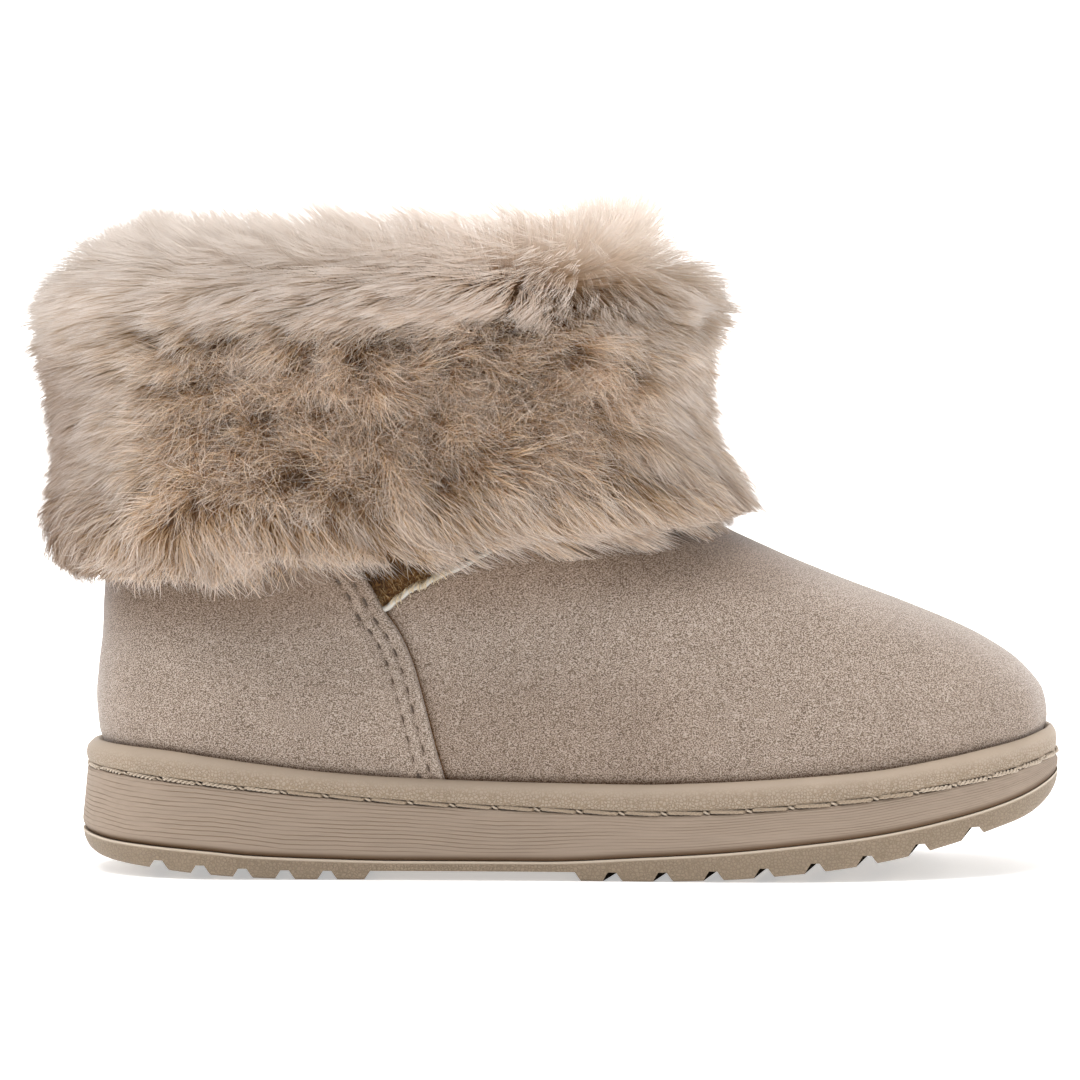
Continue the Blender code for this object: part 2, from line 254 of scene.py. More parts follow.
@dataclass(frozen=True)
class BootForm:
    """The last and the sole as functions of an angle round the boot and a height.

    The angle is 0 at the heel and half a turn at the toe, positive on the outer side and negative on the
    inner.

    Attributes:
        heel_x: where the back of the sole stands in the frame, in metres.
        length: the sole's length, in millimetres.
    """

    heel_x: float
    length: float

    @classmethod
    def from_frame(cls) -> BootForm:
        """Returns the form placed and sized by the CAD outsole."""
        low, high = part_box("outsole")
        return cls(low.x, (high.x - low.x) / MM)

    def in_frame(self, points: Array) -> Array:
        """Returns points given in millimetres from the back of the sole, in metres in the frame."""
        return points * MM + np.array([self.heel_x, 0.0, 0.0])

    def share(self, angle: Array) -> Array:
        """Returns the share of the length, from heel to toe, at an angle."""
        return (1 - np.cos(angle)) / 2

    def side(self, angle: Array) -> Array:
        """Returns -1 on the outer side and 1 on the inner."""
        return np.where((angle + TURN) % TURN <= math.pi, -1.0, 1.0)

    def width(self, angle: Array, inset: Array | float) -> Array:
        """Half width of the foot's plan on the angle's own side.

        Args:
            angle: round the boot.
            inset: how far in from the plan, in millimetres.

        Returns:
            The half widths.
        """
        share = self.share(angle)
        plan = np.where(self.side(angle) < 0, PLAN["lateral"](share), PLAN["medial"](share))
        ends = round_end(share, HEEL_ROUND, HEEL_POWER) * round_end(1 - share, TOE_ROUND, TOE_POWER)
        return (plan - inset) * ends

    def sole(self, angle: Array, inset: Array | float, taper: float = 1.0) -> tuple[Array, Array]:
        """The sole's outline, drawn in.

        Args:
            angle: round the boot.
            inset: how far in from the plan at the heel.
            taper: the share of the inset that is left at the toe.

        Returns:
            The stations, and the distances across.
        """
        share = self.share(angle)
        station = mix(inset, self.length - taper * inset, share)
        reach = self.width(angle, inset * mix(1.0, taper, share))
        return station, PLAN["centre"](share) + self.side(angle) * reach

    def side_height(self, line: str, station: Array) -> Array:
        """Returns the height of one of the side view's lines at a station."""
        return SIDE[line](station / self.length)

    def last(self, angle: Array, height: Array) -> tuple[Array, Array]:
        """The upper's outside at an angle and a height.

        Args:
            angle: round the boot.
            height: above the ground.

        Returns:
            The stations, and the distances across.
        """
        share, oval = self.share(angle), LAST["oval"](height)
        station = mix(LAST["back"](height), LAST["front"](height), share)
        foot = self.width(angle, UPPER_INSET) * LAST["fullness"](height)
        round_share = np.clip(1 - np.abs(2 * share - 1) ** OVAL_POWER, 0, 1) ** (1 / OVAL_POWER)
        across = PLAN["centre"](share) * (1 - oval)
        return station, across + self.side(angle) * mix(foot, LAST["half_width"](height) * round_share, oval)

    def on_last(self, angle: Array, height: Array, out: Array | float, lift: Array | float = 0.0) -> Array:
        """Points that stand off the upper along its level normal.

        Args:
            angle: round the boot.
            height: of the upper's own point.
            out: how far out the point stands.
            lift: how far above that height it stands.

        Returns:
            Points in millimetres.
        """
        step = 0.004
        station, across = self.last(angle, height)
        after, before = self.last(angle + step, height), self.last(angle - step, height)
        along = unit(np.stack([after[0] - before[0], after[1] - before[1]], -1))
        return np.stack([station + along[..., 1] * out, across - along[..., 0] * out, height + lift], -1)

    def angle_at(self, station: Array, height: Array) -> Array:
        """Returns the angle, on the outer side, at which the upper has a station at a height."""
        back, front = LAST["back"](height), LAST["front"](height)
        return np.arccos(np.clip(1 - 2 * (station - back) / (front - back), -1, 1))


# ---------------- finishes


def linear(colour: str) -> tuple[float, float, float, float]:
    """Turns an sRGB colour to linear light.

    Args:
        colour: six hex digits after a hash.

    Returns:
        Red, green, blue and an alpha of 1.
    """
    parts = [int(colour[i : i + 2], 16) / 255 for i in (1, 3, 5)]
    return (*(c / 12.92 if c <= 0.04045 else ((c + 0.055) / 1.055) ** 2.4 for c in parts), 1.0)


class Graph:
    """A material's node tree, grown a node at a time."""

    def __init__(self, name: str) -> None:
        """Starts an empty tree.

        Args:
            name: the material's name.
        """
        self.material = bpy.data.materials.new(name)
        self.material.use_nodes = True
        self.tree = self.material.node_tree
        self.tree.nodes.clear()

    def add(self, kind: str, inputs: dict[str, object] | None = None) -> Node:
        """Adds a node with its settings and links.

        Args:
            kind: the node's type, without its "ShaderNode".
            inputs: the node's own properties by name; for a socket, by name or identifier, its value, a
                colour's hex digits, or the output that feeds it, where a node stands for its first output;
                and "ramp" for a colour ramp's (place, colour) stops.

        Returns:
            The node.
        """
        node = self.tree.nodes.new("ShaderNode" + kind)
        for key, value in (inputs or {}).items():
            if key == "ramp":
                stops = node.color_ramp.elements
                while len(stops) < len(value):
                    stops.new(1.0)
                for stop, (place, colour) in zip(stops, value):
                    stop.position, stop.color = place, linear(colour)
            elif hasattr(node, key):
                setattr(node, key, value)
            else:
                socket = next((s for s in node.inputs if s.identifier == key), None) or node.inputs[key]
                if isinstance(value, Node):
                    value = next(output for output in value.outputs if output.enabled)
                if isinstance(value, NodeSocket):
                    self.tree.links.new(value, socket)
                else:
                    socket.default_value = linear(value) if isinstance(value, str) else value
        return node

    def done(self, shader: Node) -> Material:
        """Returns the material, with its shader on the output."""
        self.add("OutputMaterial", {"Surface": shader})
        return self.material


# Settings that several nodes share: a mix of colours, their product, and the middle of a noise's range
BLEND = {"data_type": "RGBA"}
MULTIPLY = {**BLEND, "blend_type": "MULTIPLY", "Factor_Float": 1.0}
MIDDLE = {"From Min": 0.3, "From Max": 0.7}


def per_metre(size: float) -> float:
    """Returns a texture's scale for features of a size in millimetres."""
    return 1 / (size * MM)


@dataclass(frozen=True)
class NappedSuede:
    """Imitation suede: a polyester microfibre cloth, sanded to a short nap.

    The nap's fibres lie in small curved tufts that show light sides and dark partings, and they catch the
    light along the edges of the form, where one looks across their tips.
    """

    name: str = "napped_microfibre_suede"
    parting: str = "#685a4e"
    body: str = "#978677"
    tips: str = "#b9aba0"
    shade: str = "#926a2c"
    sheen: str = "#f1eeee"
    tuft: float = 0.17
    patch: float = 16.0
    depth: float = 0.12

    def material(self) -> Material:
        """Grows the finish.

        Returns:
            The material.
        """
        g = Graph(self.name)
        at = g.add("TexCoord").outputs["Object"]
        brushing = g.add("Mapping", {"Scale": (0.72, 0.72, 1.15), "Vector": at})
        nap = {"Scale": per_metre(self.tuft), "Detail": 0.6, "Roughness": 0.5, "Distortion": 0.35}
        tufts = g.add("TexNoise", {**nap, "Vector": brushing})
        patches = g.add("TexNoise", {"Scale": per_metre(self.patch), "Detail": 3.0, "Vector": at})
        stops = [(0.4, self.parting), (0.5, self.body), (0.6, self.tips)]
        shades = g.add("ValToRGB", {"ramp": stops, "Fac": tufts})
        brushed = g.add("MapRange", {**MIDDLE, "To Min": 0.96, "To Max": 1.06, "Value": patches})
        # This attribute darkens the nap towards the shade colour with needle marks and painted shade; where
        # it is negative it paints the nap paler as a painted highlight
        dent = g.add("Attribute", {"attribute_name": "dent"}).outputs["Fac"]
        shaded = {**BLEND, "clamp_factor": False, "Factor_Float": dent, "B_Color": self.shade}
        weight = g.add("Mix", {**shaded, "A_Color": brushed})
        colour = g.add("Mix", {**MULTIPLY, "A_Color": shades, "B_Color": weight})
        bump = g.add("Bump", {"Strength": 0.9, "Distance": self.depth * MM, "Height": tufts})
        cloth = {"Roughness": 0.95, "Specular IOR Level": 0.12, "Base Color": colour, "Normal": bump}
        sheen = {"Sheen Weight": 0.55, "Sheen Roughness": 0.4, "Sheen Tint": self.sheen}
        return g.done(g.add("BsdfPrincipled", {**cloth, **sheen}))


@dataclass(frozen=True)
class PileFibre:
    """Imitation fur or fleece: crimped acrylic fibre, darker at the root and paler towards the tip.

    The pile looks dark where one sees down between its tufts and pale where the tips lie across the view; the
    dark root colour partly paints that shade. Each fibre carries how far it has come from the root and a
    tone, which holds its own tone and painted light and shade.
    """

    name: str
    root: str
    middle: str
    tip: str
    tan: str
    glow: float = 0.48

    def material(self) -> Material:
        """Grows the finish.

        Returns:
            The material.
        """
        g = Graph(self.name)
        marks = [g.add("Attribute", {"attribute_name": name}) for name in ("along", "tone")]
        along, tone = (mark.outputs["Fac"] for mark in marks)
        stops = [(0.36, self.root), (0.62, self.middle), (0.91, self.tip)]
        length = g.add("ValToRGB", {"ramp": stops, "Fac": along})
        # Low tones, which hold painted shade as well as each fibre's own tone, are mixed towards tan and
        # darkened
        tanned = {"From Min": 0.58, "From Max": 0.12, "To Min": 0.0, "To Max": 0.85}
        warm = g.add("MapRange", {**tanned, "Value": tone})
        dyed = g.add("Mix", {**BLEND, "Factor_Float": warm, "A_Color": length, "B_Color": self.tan})
        value = g.add("MapRange", {"To Min": 0.43, "To Max": 1.26, "Value": tone})
        colour = g.add("Mix", {**MULTIPLY, "A_Color": dyed, "B_Color": value})
        hair = {"Roughness": 0.65, "Specular IOR Level": 0.2, "Base Color": colour}
        surface = g.add("BsdfPrincipled", hair)
        through = g.add("BsdfTranslucent", {"Color": colour})
        return g.done(g.add("MixShader", {"Fac": self.glow, "Shader": surface, "Shader_001": through}))


@dataclass(frozen=True)
class KnitBacking:
    """The knitted ground that a pile grows from: a dull, dense loop fabric, seen only between fibres."""

    name: str
    dark: str
    light: str
    loop: float = 0.9

    def material(self) -> Material:
        """Grows the finish.

        Returns:
            The material.
        """
        g = Graph(self.name)
        at = g.add("TexCoord").outputs["Object"]
        knit = {"Scale": per_metre(self.loop), "Detail": 3.0, "Roughness": 0.7, "Distortion": 1.4}
        loops = g.add("TexNoise", {**knit, "Vector": at})
        colour = g.add("ValToRGB", {"ramp": [(0.3, self.dark), (0.72, self.light)], "Fac": loops})
        bump = g.add("Bump", {"Strength": 0.9, "Distance": 0.5 * MM, "Height": loops})
        dull = {"Roughness": 1.0, "Specular IOR Level": 0.1, "Base Color": colour, "Normal": bump}
        return g.done(g.add("BsdfPrincipled", dull))


@dataclass(frozen=True)
class MouldedRubber:
    """Thermoplastic rubber, injection moulded in a spark-textured tool.

    The tool leaves a fine closed pebble that keeps the surface matt, with a little darker dirt in the hollows
    of the grain. A paler line along the lip is a painted highlight, and deep in the grooves a painted shade
    darkens the walls and takes off their shine.
    """

    name: str
    body: str
    hollow: str
    pebble: float
    relief: float
    lip_highlight: str = "#cdbfae"
    dark: str = "#1c1712"
    roughness: float = 0.58

    def material(self) -> Material:
        """Grows the finish.

        Returns:
            The material.
        """
        g = Graph(self.name)
        at = g.add("TexCoord").outputs["Object"]
        pebbles = {"feature": "DISTANCE_TO_EDGE", "Scale": per_metre(self.pebble), "Randomness": 0.9}
        cells = g.add("TexVoronoi", {**pebbles, "Vector": at})
        clouds = g.add("TexNoise", {"Scale": per_metre(11.0), "Detail": 3.0, "Vector": at})
        grain = g.add("TexNoise", {"Scale": per_metre(0.28), "Detail": 2.0, "Roughness": 0.6, "Vector": at})
        marks = [g.add("Attribute", {"attribute_name": name}) for name in ("pebbled", "rubbed", "shaded")]
        mask, edge, deep = (mark.outputs["Fac"] for mark in marks)
        falling = {"interpolation_type": "SMOOTHSTEP", "From Max": 0.2, "To Min": 1.0, "To Max": 0.0}
        hollow = g.add("MapRange", {**falling, "Value": cells})
        dirt = g.add("Math", {"operation": "MULTIPLY", "Value": hollow, "Value_001": mask})
        base = g.add("Mix", {**BLEND, "Factor_Float": dirt, "A_Color": self.body, "B_Color": self.hollow})
        cloud = g.add("MapRange", {**MIDDLE, "To Min": 0.96, "To Max": 1.04, "Value": clouds})
        colour = g.add("Mix", {**MULTIPLY, "A_Color": base, "B_Color": cloud})
        # The lip's paler line is a painted highlight, and the dark colour deep in the grooves is painted
        # shade
        for share, tint in ((edge, self.lip_highlight), (deep, self.dark)):
            colour = g.add("Mix", {**BLEND, "Factor_Float": share, "A_Color": colour, "B_Color": tint})
        pits = g.add("Bump", {"Strength": 0.8, "Distance": self.relief * MM, "invert": True, "Height": dirt})
        bump = g.add("Bump", {"Strength": 0.35, "Distance": 0.05 * MM, "Height": grain, "Normal": pits})
        # The painted shade deep in the grooves also takes their shine away
        gloss = g.add("MapRange", {"To Min": 0.35, "To Max": 0.0, "Value": deep})
        matt = {"Roughness": self.roughness, "Base Color": colour, "Normal": bump}
        return g.done(g.add("BsdfPrincipled", {**matt, "Specular IOR Level": gloss}))


@dataclass(frozen=True)
class GrainedFoam:
    """Expanded rubber foam, moulded against a tool engraved with fine wavy lines like wood grain.

    The engraved lines follow the wall and have darker floors; the hollow at the wall's foot is painted a
    brown shade, for the shadow that falls in it.
    """

    name: str = "grained_foam_rubber"
    body: str = "#978778"
    groove: str = "#7b6855"
    foot: str = "#5c4733"

    def material(self) -> Material:
        """Grows the finish.

        Returns:
            The material.
        """
        g = Graph(self.name)
        at = g.add("TexCoord").outputs["Object"]
        names = ("line_phase", "line_depth", "hollow")
        marks = [g.add("Attribute", {"attribute_name": name}) for name in names]
        phase, faint, hollow = (mark.outputs["Fac"] for mark in marks)
        wave = g.add("Math", {"operation": "COSINE", "Value": phase})
        narrow = g.add("MapRange", {"From Min": 0.66, "From Max": 1.0, "Value": wave})
        engraved = g.add("Math", {"operation": "MULTIPLY", "Value": narrow, "Value_001": faint})
        skin = g.add("TexNoise", {"Scale": per_metre(0.45), "Detail": 3.0, "Vector": at})
        long_way = g.add("Mapping", {"Scale": (0.06, 0.3, 1.0), "Vector": at})
        streaks = g.add("TexNoise", {"Scale": per_metre(0.5), "Detail": 2.0, "Vector": long_way})
        base = g.add("Mix", {**BLEND, "Factor_Float": engraved, "A_Color": self.body, "B_Color": self.groove})
        tint = g.add("MapRange", {**MIDDLE, "To Min": 0.95, "To Max": 1.05, "Value": streaks})
        skinned = g.add("Mix", {**MULTIPLY, "A_Color": base, "B_Color": tint})
        # Painted shade in the hollow at the wall's foot
        colour = g.add("Mix", {**BLEND, "Factor_Float": hollow, "A_Color": skinned, "B_Color": self.foot})
        cut = g.add("Bump", {"Strength": 0.8, "Distance": 0.08 * MM, "invert": True, "Height": engraved})
        lines = g.add("Bump", {"Strength": 0.3, "Distance": 0.06 * MM, "Height": streaks, "Normal": cut})
        bump = g.add("Bump", {"Strength": 0.3, "Distance": 0.05 * MM, "Height": skin, "Normal": lines})
        foam = {"Roughness": 0.7, "Specular IOR Level": 0.3, "Base Color": colour, "Normal": bump}
        return g.done(g.add("BsdfPrincipled", foam))


@dataclass(frozen=True)
class SpunThread:
    """Bonded polyester sewing thread: smooth spun plies with a soft shine across the twist."""

    name: str
    colour: str
    shade: str

    def material(self) -> Material:
        """Grows the finish.

        Returns:
            The material.
        """
        g = Graph(self.name)
        at = g.add("TexCoord").outputs["Object"]
        plies = g.add("TexNoise", {"Scale": per_metre(0.2), "Detail": 2.0, "Vector": at})
        colour = g.add("Mix", {**BLEND, "Factor_Float": plies, "A_Color": self.shade, "B_Color": self.colour})
        bump = g.add("Bump", {"Strength": 0.4, "Distance": 0.04 * MM, "Height": plies})
        spun = {"Roughness": 0.45, "Specular IOR Level": 0.5, "Sheen Weight": 0.2}
        return g.done(g.add("BsdfPrincipled", {**spun, "Base Color": colour, "Normal": bump}))


@dataclass(frozen=True)
class OpalAcrylic:
    """Opal acrylic sheet, lit from behind: the even white glow of a shooting table."""

    name: str = "opal_acrylic_table"
    colour: str = "#fafafa"
    light: str = "#ffffff"
    glow: float = 0.42

    def material(self) -> Material:
        """Grows the finish.

        Returns:
            The material.
        """
        g = Graph(self.name)
        at = g.add("TexCoord").outputs["Object"]
        fibre = g.add("TexNoise", {"Scale": per_metre(0.8), "Detail": 2.0, "Vector": at})
        bump = g.add("Bump", {"Strength": 0.05, "Distance": 0.05 * MM, "Height": fibre})
        sheet = {"Base Color": self.colour, "Roughness": 0.8, "Specular IOR Level": 0.1, "Normal": bump}
        lamp = {"Emission Color": self.light, "Emission Strength": self.glow}
        return g.done(g.add("BsdfPrincipled", {**sheet, **lamp}))


# ---------------- meshes


def show(name: str, data: Mesh) -> Object:
    """Puts a mesh in the scene.

    Args:
        name: the piece's name.
        data: the mesh.

    Returns:
        The object.
    """
    data.name = name
    obj = bpy.data.objects.new(name, data)
    bpy.context.scene.collection.objects.link(obj)
    return obj


def set_attribute(data: Mesh, name: str, values: Array) -> None:
    """Writes one number a vertex to a mesh."""
    layer = data.attributes.new(name, "FLOAT", "POINT")
    layer.data.foreach_set("value", np.ascontiguousarray(values, np.float32))


def vectors(items: bpy.types.bpy_prop_collection, key: str) -> Array:
    """Reads a vector of each vertex or face of a mesh.

    Args:
        items: the vertices or the faces.
        key: the vector's name.

    Returns:
        The vectors, one row each.
    """
    values = np.empty(len(items) * 3, np.float32)
    items.foreach_get(key, values)
    return values.reshape(-1, 3)


def baked(obj: Object) -> Mesh:
    """Returns an object's mesh with its modifiers or its bevel worked in."""
    bpy.context.view_layer.update()
    return bpy.data.meshes.new_from_object(obj.evaluated_get(bpy.context.evaluated_depsgraph_get()))


@dataclass(frozen=True)
class Sheet:
    """A grid of faces laid over a surface.

    Attributes:
        name: the piece's name.
        columns: how many faces it has round the boot.
        rows: how many faces it has up the boot.
    """

    name: str
    columns: int
    rows: int

    def lay(self, form: BootForm, place: Place, marks: dict[str, Place] | None = None) -> Object:
        """Lays the grid, and welds edges that meet.

        Args:
            form: the boot's form, which takes millimetres to the frame.
            place: gives the points for shares 0 to 1 across and up the grid.
            marks: gives the values of each named attribute for the same shares.

        Returns:
            The object, shaded smooth.
        """
        mesh = bmesh.new()
        bmesh.ops.create_grid(mesh, x_segments=self.columns, y_segments=self.rows, size=0.5)
        data = bpy.data.meshes.new(self.name)
        mesh.to_mesh(data)
        places = vectors(data.vertices, "co").astype(float) + 0.5
        across = np.round(places[:, 0] * self.columns) / self.columns
        up = np.round(places[:, 1] * self.rows) / self.rows
        points = form.in_frame(place(across, up))
        data.vertices.foreach_set("co", points.astype(np.float32).ravel())
        for name, mark in (marks or {}).items():
            set_attribute(data, name, mark(across, up))
        mesh.clear()
        mesh.from_mesh(data)
        edge = [vert for vert in mesh.verts if vert.is_boundary]
        bmesh.ops.remove_doubles(mesh, verts=edge, dist=0.004 * MM)
        bmesh.ops.dissolve_degenerate(mesh, edges=mesh.edges, dist=0.002 * MM)
        mesh.to_mesh(data)
        mesh.free()
        data.shade_smooth()
        return show(self.name, data)


def threads(
    name: str, form: BootForm, paths: Sequence[Array], radius: float, sides: int = 0
) -> Object:
    """Round threads along many short paths, joined in one mesh.

    Args:
        name: the piece's name.
        form: the boot's form.
        paths: the points of each thread, in millimetres.
        radius: of a thread, in millimetres.
        sides: the bevel's resolution.

    Returns:
        The object.
    """
    line = bpy.data.curves.new(name, "CURVE")
    line.dimensions = "3D"
    line.bevel_depth = radius * MM
    line.bevel_resolution = sides
    line.use_fill_caps = True
    for path in paths:
        spline = line.splines.new("POLY")
        spline.points.add(len(path) - 1)
        spline.points.foreach_set("co", np.column_stack([form.in_frame(path), np.ones(len(path))]).ravel())
    holder = bpy.data.objects.new(name, line)
    bpy.context.scene.collection.objects.link(holder)
    data = baked(holder)
    bpy.data.objects.remove(holder)
    bpy.data.curves.remove(line)
    data.shade_smooth()
    return show(name, data)


@dataclass
class Fibres:
    """Fibres as flat ribbons that narrow to a point.

    Attributes:
        paths: the points of each fibre from root to tip, as fibres by points by 3, in millimetres.
        outward: the way out of the pile at each fibre, as fibres by 3.
        widths: of each fibre, in millimetres.
        turns: how far each ribbon is turned about its own length, in radians.
        tones: each fibre's tone, 0 to 1, with any painted light and shade in it.
        along: each point's way from the root, 0 to 1, pushed towards the tip where the pile is painted paler.
        round_share: how much of the shading follows the pile rather than the single ribbon.
    """

    paths: Array
    outward: Array
    widths: Array
    turns: Array
    tones: Array
    along: Array
    round_share: float = 0.55

    def joined(self, name: str, form: BootForm) -> Object:
        """Makes one mesh of every fibre.

        Args:
            name: the piece's name.
            form: the boot's form.

        Returns:
            The object.
        """
        count, steps = self.paths.shape[:2]
        ahead = unit(np.gradient(self.paths, axis=1))
        outward = np.repeat(self.outward[:, None], steps, 1)
        flat = unit(np.cross(ahead, outward))
        lifted = np.cross(flat, ahead)
        turn = self.turns[:, None, None]
        sideways = flat * np.cos(turn) + lifted * np.sin(turn)
        facing = np.cross(sideways, ahead)
        taper = np.interp(np.arange(steps - 1) / (steps - 2), [0, 0.55, 1], [0.75, 1.0, 0.62])
        half = (self.widths[:, None] * taper / 2)[..., None]
        body, tips = self.paths[:, :-1], self.paths[:, -1]
        left, right = body - sideways[:, :-1] * half, body + sideways[:, :-1] * half
        pairs = np.stack([left, right], 2).reshape(count, -1, 3)
        verts = np.concatenate([pairs, tips[:, None]], 1)
        per_fibre = verts.shape[1]

        def by_vertex(values: Array) -> Array:
            """Returns each point's values for its two vertices, or for the tip's one."""
            return np.concatenate([np.repeat(values[:, :-1], 2, 1), values[:, -1:]], 1)

        quads = np.array([[2 * i, 2 * i + 1, 2 * i + 3, 2 * i + 2] for i in range(steps - 2)])
        point = np.array([per_fibre - 3, per_fibre - 2, per_fibre - 1])
        corners = np.concatenate([quads.ravel(), point])
        sizes = np.array([4] * (steps - 2) + [3])
        first = np.concatenate([[0], np.cumsum(sizes)[:-1]])
        fibre = np.arange(count)[:, None]
        used = (corners + fibre * per_fibre).ravel()
        data = bpy.data.meshes.new(name)
        data.vertices.add(count * per_fibre)
        data.vertices.foreach_set("co", form.in_frame(verts).astype(np.float32).ravel())
        data.loops.add(len(used))
        data.loops.foreach_set("vertex_index", used.astype(np.int32))
        data.polygons.add(count * len(sizes))
        data.polygons.foreach_set("loop_start", (first + fibre * len(corners)).astype(np.int32).ravel())
        data.update(calc_edges=True)
        normal = unit(mix(facing, outward, self.round_share))
        data.shade_smooth()
        data.normals_split_custom_set_from_vertices(by_vertex(normal).reshape(-1, 3).astype(np.float32))
        along, tone = by_vertex(self.along).ravel(), np.repeat(self.tones, per_fibre)
        set_attribute(data, "along", along)
        set_attribute(data, "tone", tone)
        palette = np.column_stack([tone, along])[used]
        data.uv_layers.new(name="OFBake").uv.foreach_set("vector", palette.astype(np.float32).ravel())
        return show(name, data)


@dataclass
class SubAssembly:
    """A group of pieces that a maker puts together in one step.

    Attributes:
        form: the boot's form.
    """

    form: BootForm

    def fit(
        self, obj: Object, material: Material, slot: Slot | None, stands_for: str = ""
    ) -> Object:
        """Dresses a piece and fixes it to the boot.

        Args:
            obj: the piece.
            material: what it is made of.
            slot: the record's material slot, if it has one; not used.
            stands_for: the CAD node that it replaces, if it does.

        Returns:
            The piece.
        """
        obj.data.materials.clear()
        obj.data.materials.append(material)
        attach(obj, "root")
        if stands_for:
            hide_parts(stands_for)
        LOG.info("%s: %d faces", obj.name, len(obj.data.polygons))
        return obj

    def read_section(self, section: Sequence, across: Array, up: Array) -> tuple[Array, ...]:
        """Reads the table of a section that a sheet carries round the boot.

        Args:
            section: the table, a row for each of the sheet's rows of points.
            across: shares round the boot.
            up: shares through the section.

        Returns:
            The angles, and the table's columns.
        """
        row = np.round(up * (len(section) - 1)).astype(int)
        return full_turn(across), *np.array(section)[row].T


# ---------------- the unit sole


@dataclass(frozen=True)
class Grooves:
    """A row of grooves across the sole.

    Attributes:
        first: the first groove's station.
        pitch: from groove to groove.
        count: how many there are.
        sweep: how far forward each one's middle lies.
    """

    first: float
    pitch: float
    count: int
    sweep: float


@dataclass
class Outsole(SubAssembly):
    """The rubber bottom: rounded under at its edge, cut into lugs, with a thin lip round its top."""

    lug_height: float = 1.8
    mouth: float = 3.9
    floor: float = 1.6
    below: float = 2.6
    reach: float = 50.0
    half: float = 35.0
    rows: tuple[Grooves, ...] = (Grooves(16.0, 8.1, 5, 0.0), Grooves(102.1, 9.75, 8, 6.0))
    arch: tuple[float, float] = (56.6, 95.6)
    arch_slope: float = 1.2
    edge_round: float = 0.42
    # The middle of the stretch that has grooves, and how far it goes on each side
    treaded: tuple[float, float] = (93.5, 80.0)
    # The section from the middle of the bottom to the middle of the top: reach across, inset, rise and height
    section: Section = (
        (0.0, 2.5, 0.0, 0.0), (0.35, 2.5, 0.0, 0.0), (0.7, 2.5, 0.0, 0.0), (1.0, 2.5, 0.0, 0.0),
        (1.0, 1.7, 0.05, 0.0), (1.0, 1.15, 0.13, 0.0), (1.0, 0.75, 0.26, 0.0), (1.0, 0.5, 0.44, 0.0),
        (1.0, 0.38, 0.62, 0.0), (1.0, 0.33, 0.8, 0.0), (1.0, 0.31, 1.0, -0.6), (1.0, 0.22, 1.0, -0.45),
        (1.0, 0.17, 1.0, -0.3), (1.0, 0.19, 1.0, -0.14), (1.0, 0.28, 1.0, -0.02), (1.0, 0.5, 1.0, 0.02),
        (1.0, 1.2, 1.0, -0.12), (1.0, 3.0, 1.0, -0.2), (0.6, 3.0, 1.0, -0.2), (0.0, 3.0, 1.0, -0.2),
    )

    def cut_section(self, back: float, front: float, spread: float, ground: float = 0.0) -> Section:
        """The section of a cut with sloping ends, from below the ground up into the sole.

        Args:
            back: where its roof starts.
            front: where its roof ends.
            spread: how far each end slopes out from the roof down to the ground.
            ground: the ground line's height there.

        Returns:
            The corners' stations and heights.
        """
        spread *= 1 + self.below / self.lug_height
        bottom, top = ground - self.below, ground + self.lug_height
        return (back - spread, bottom), (front + spread, bottom), (front, top), (back, top)

    def groove_section(self, station: float) -> Section:
        """Returns the section of a groove between two lugs, at a station."""
        ground = float(self.form.side_height("ground", np.array(station)))
        half = self.floor / 2
        return self.cut_section(station - half, station + half, self.mouth / 2 - half, ground)

    def add_bar(self, mesh: bmesh.types.BMesh, sections: Sequence[tuple[float, Section]]) -> None:
        """Adds a bar across the sole.

        Args:
            mesh: takes the bar.
            sections: the distance across and the section of each of its ends and bends.
        """
        rings = []
        for across, section in sections:
            points = self.form.in_frame(np.array([(x, across, z) for x, z in section]))
            rings.append([mesh.verts.new(point) for point in points])
        for ring in rings:
            for corner in range(4):
                mesh.edges.new((ring[corner - 1], ring[corner]))
        for before, after in zip(rings, rings[1:]):
            edges = {edge for ring in (before, after) for vert in ring for edge in vert.link_edges}
            between = [e for e in edges if any(all(v in ring for v in e.verts) for ring in (before, after))]
            bmesh.ops.bridge_loops(mesh, edges=between)
        for ring in (rings[0], rings[-1]):
            bmesh.ops.contextual_create(mesh, geom=ring)

    def cutter(self) -> Object:
        """Makes every groove and the arch as bars, to be cut away.

        Returns:
            The bars.
        """
        mesh = bmesh.new()
        for row in self.rows:
            for number in range(row.count):
                station = row.first + row.pitch * number
                peak = self.groove_section(station + row.sweep)
                side = self.groove_section(station - row.sweep * (self.reach / self.half - 1))
                ends = [(-self.reach, side), (self.reach, side)]
                self.add_bar(mesh, [ends[0], (0.0, peak), ends[1]] if row.sweep else ends)
        arch = self.cut_section(*self.arch, self.arch_slope)
        self.add_bar(mesh, [(-self.reach, arch), (self.reach, arch)])
        bmesh.ops.recalc_face_normals(mesh, faces=mesh.faces)
        data = bpy.data.meshes.new("tread_cutter")
        mesh.to_mesh(data)
        mesh.free()
        return show("tread_cutter", data)

    def build(self) -> None:
        """Builds and dresses the outsole."""

        def place(across: Array, up: Array) -> Array:
            """Returns the points of the bottom, the lip and the top."""
            angle, reach, inset, rise, above = self.read_section(self.section, across, up)
            station, y = self.form.sole(angle, inset, WALL_TAPER)
            centre = PLAN["centre"](self.form.share(angle))
            low, high = self.form.side_height("ground", station), self.form.side_height("joint", station)
            return np.stack([station, mix(centre, y, reach), mix(low, high, rise) + above], -1)

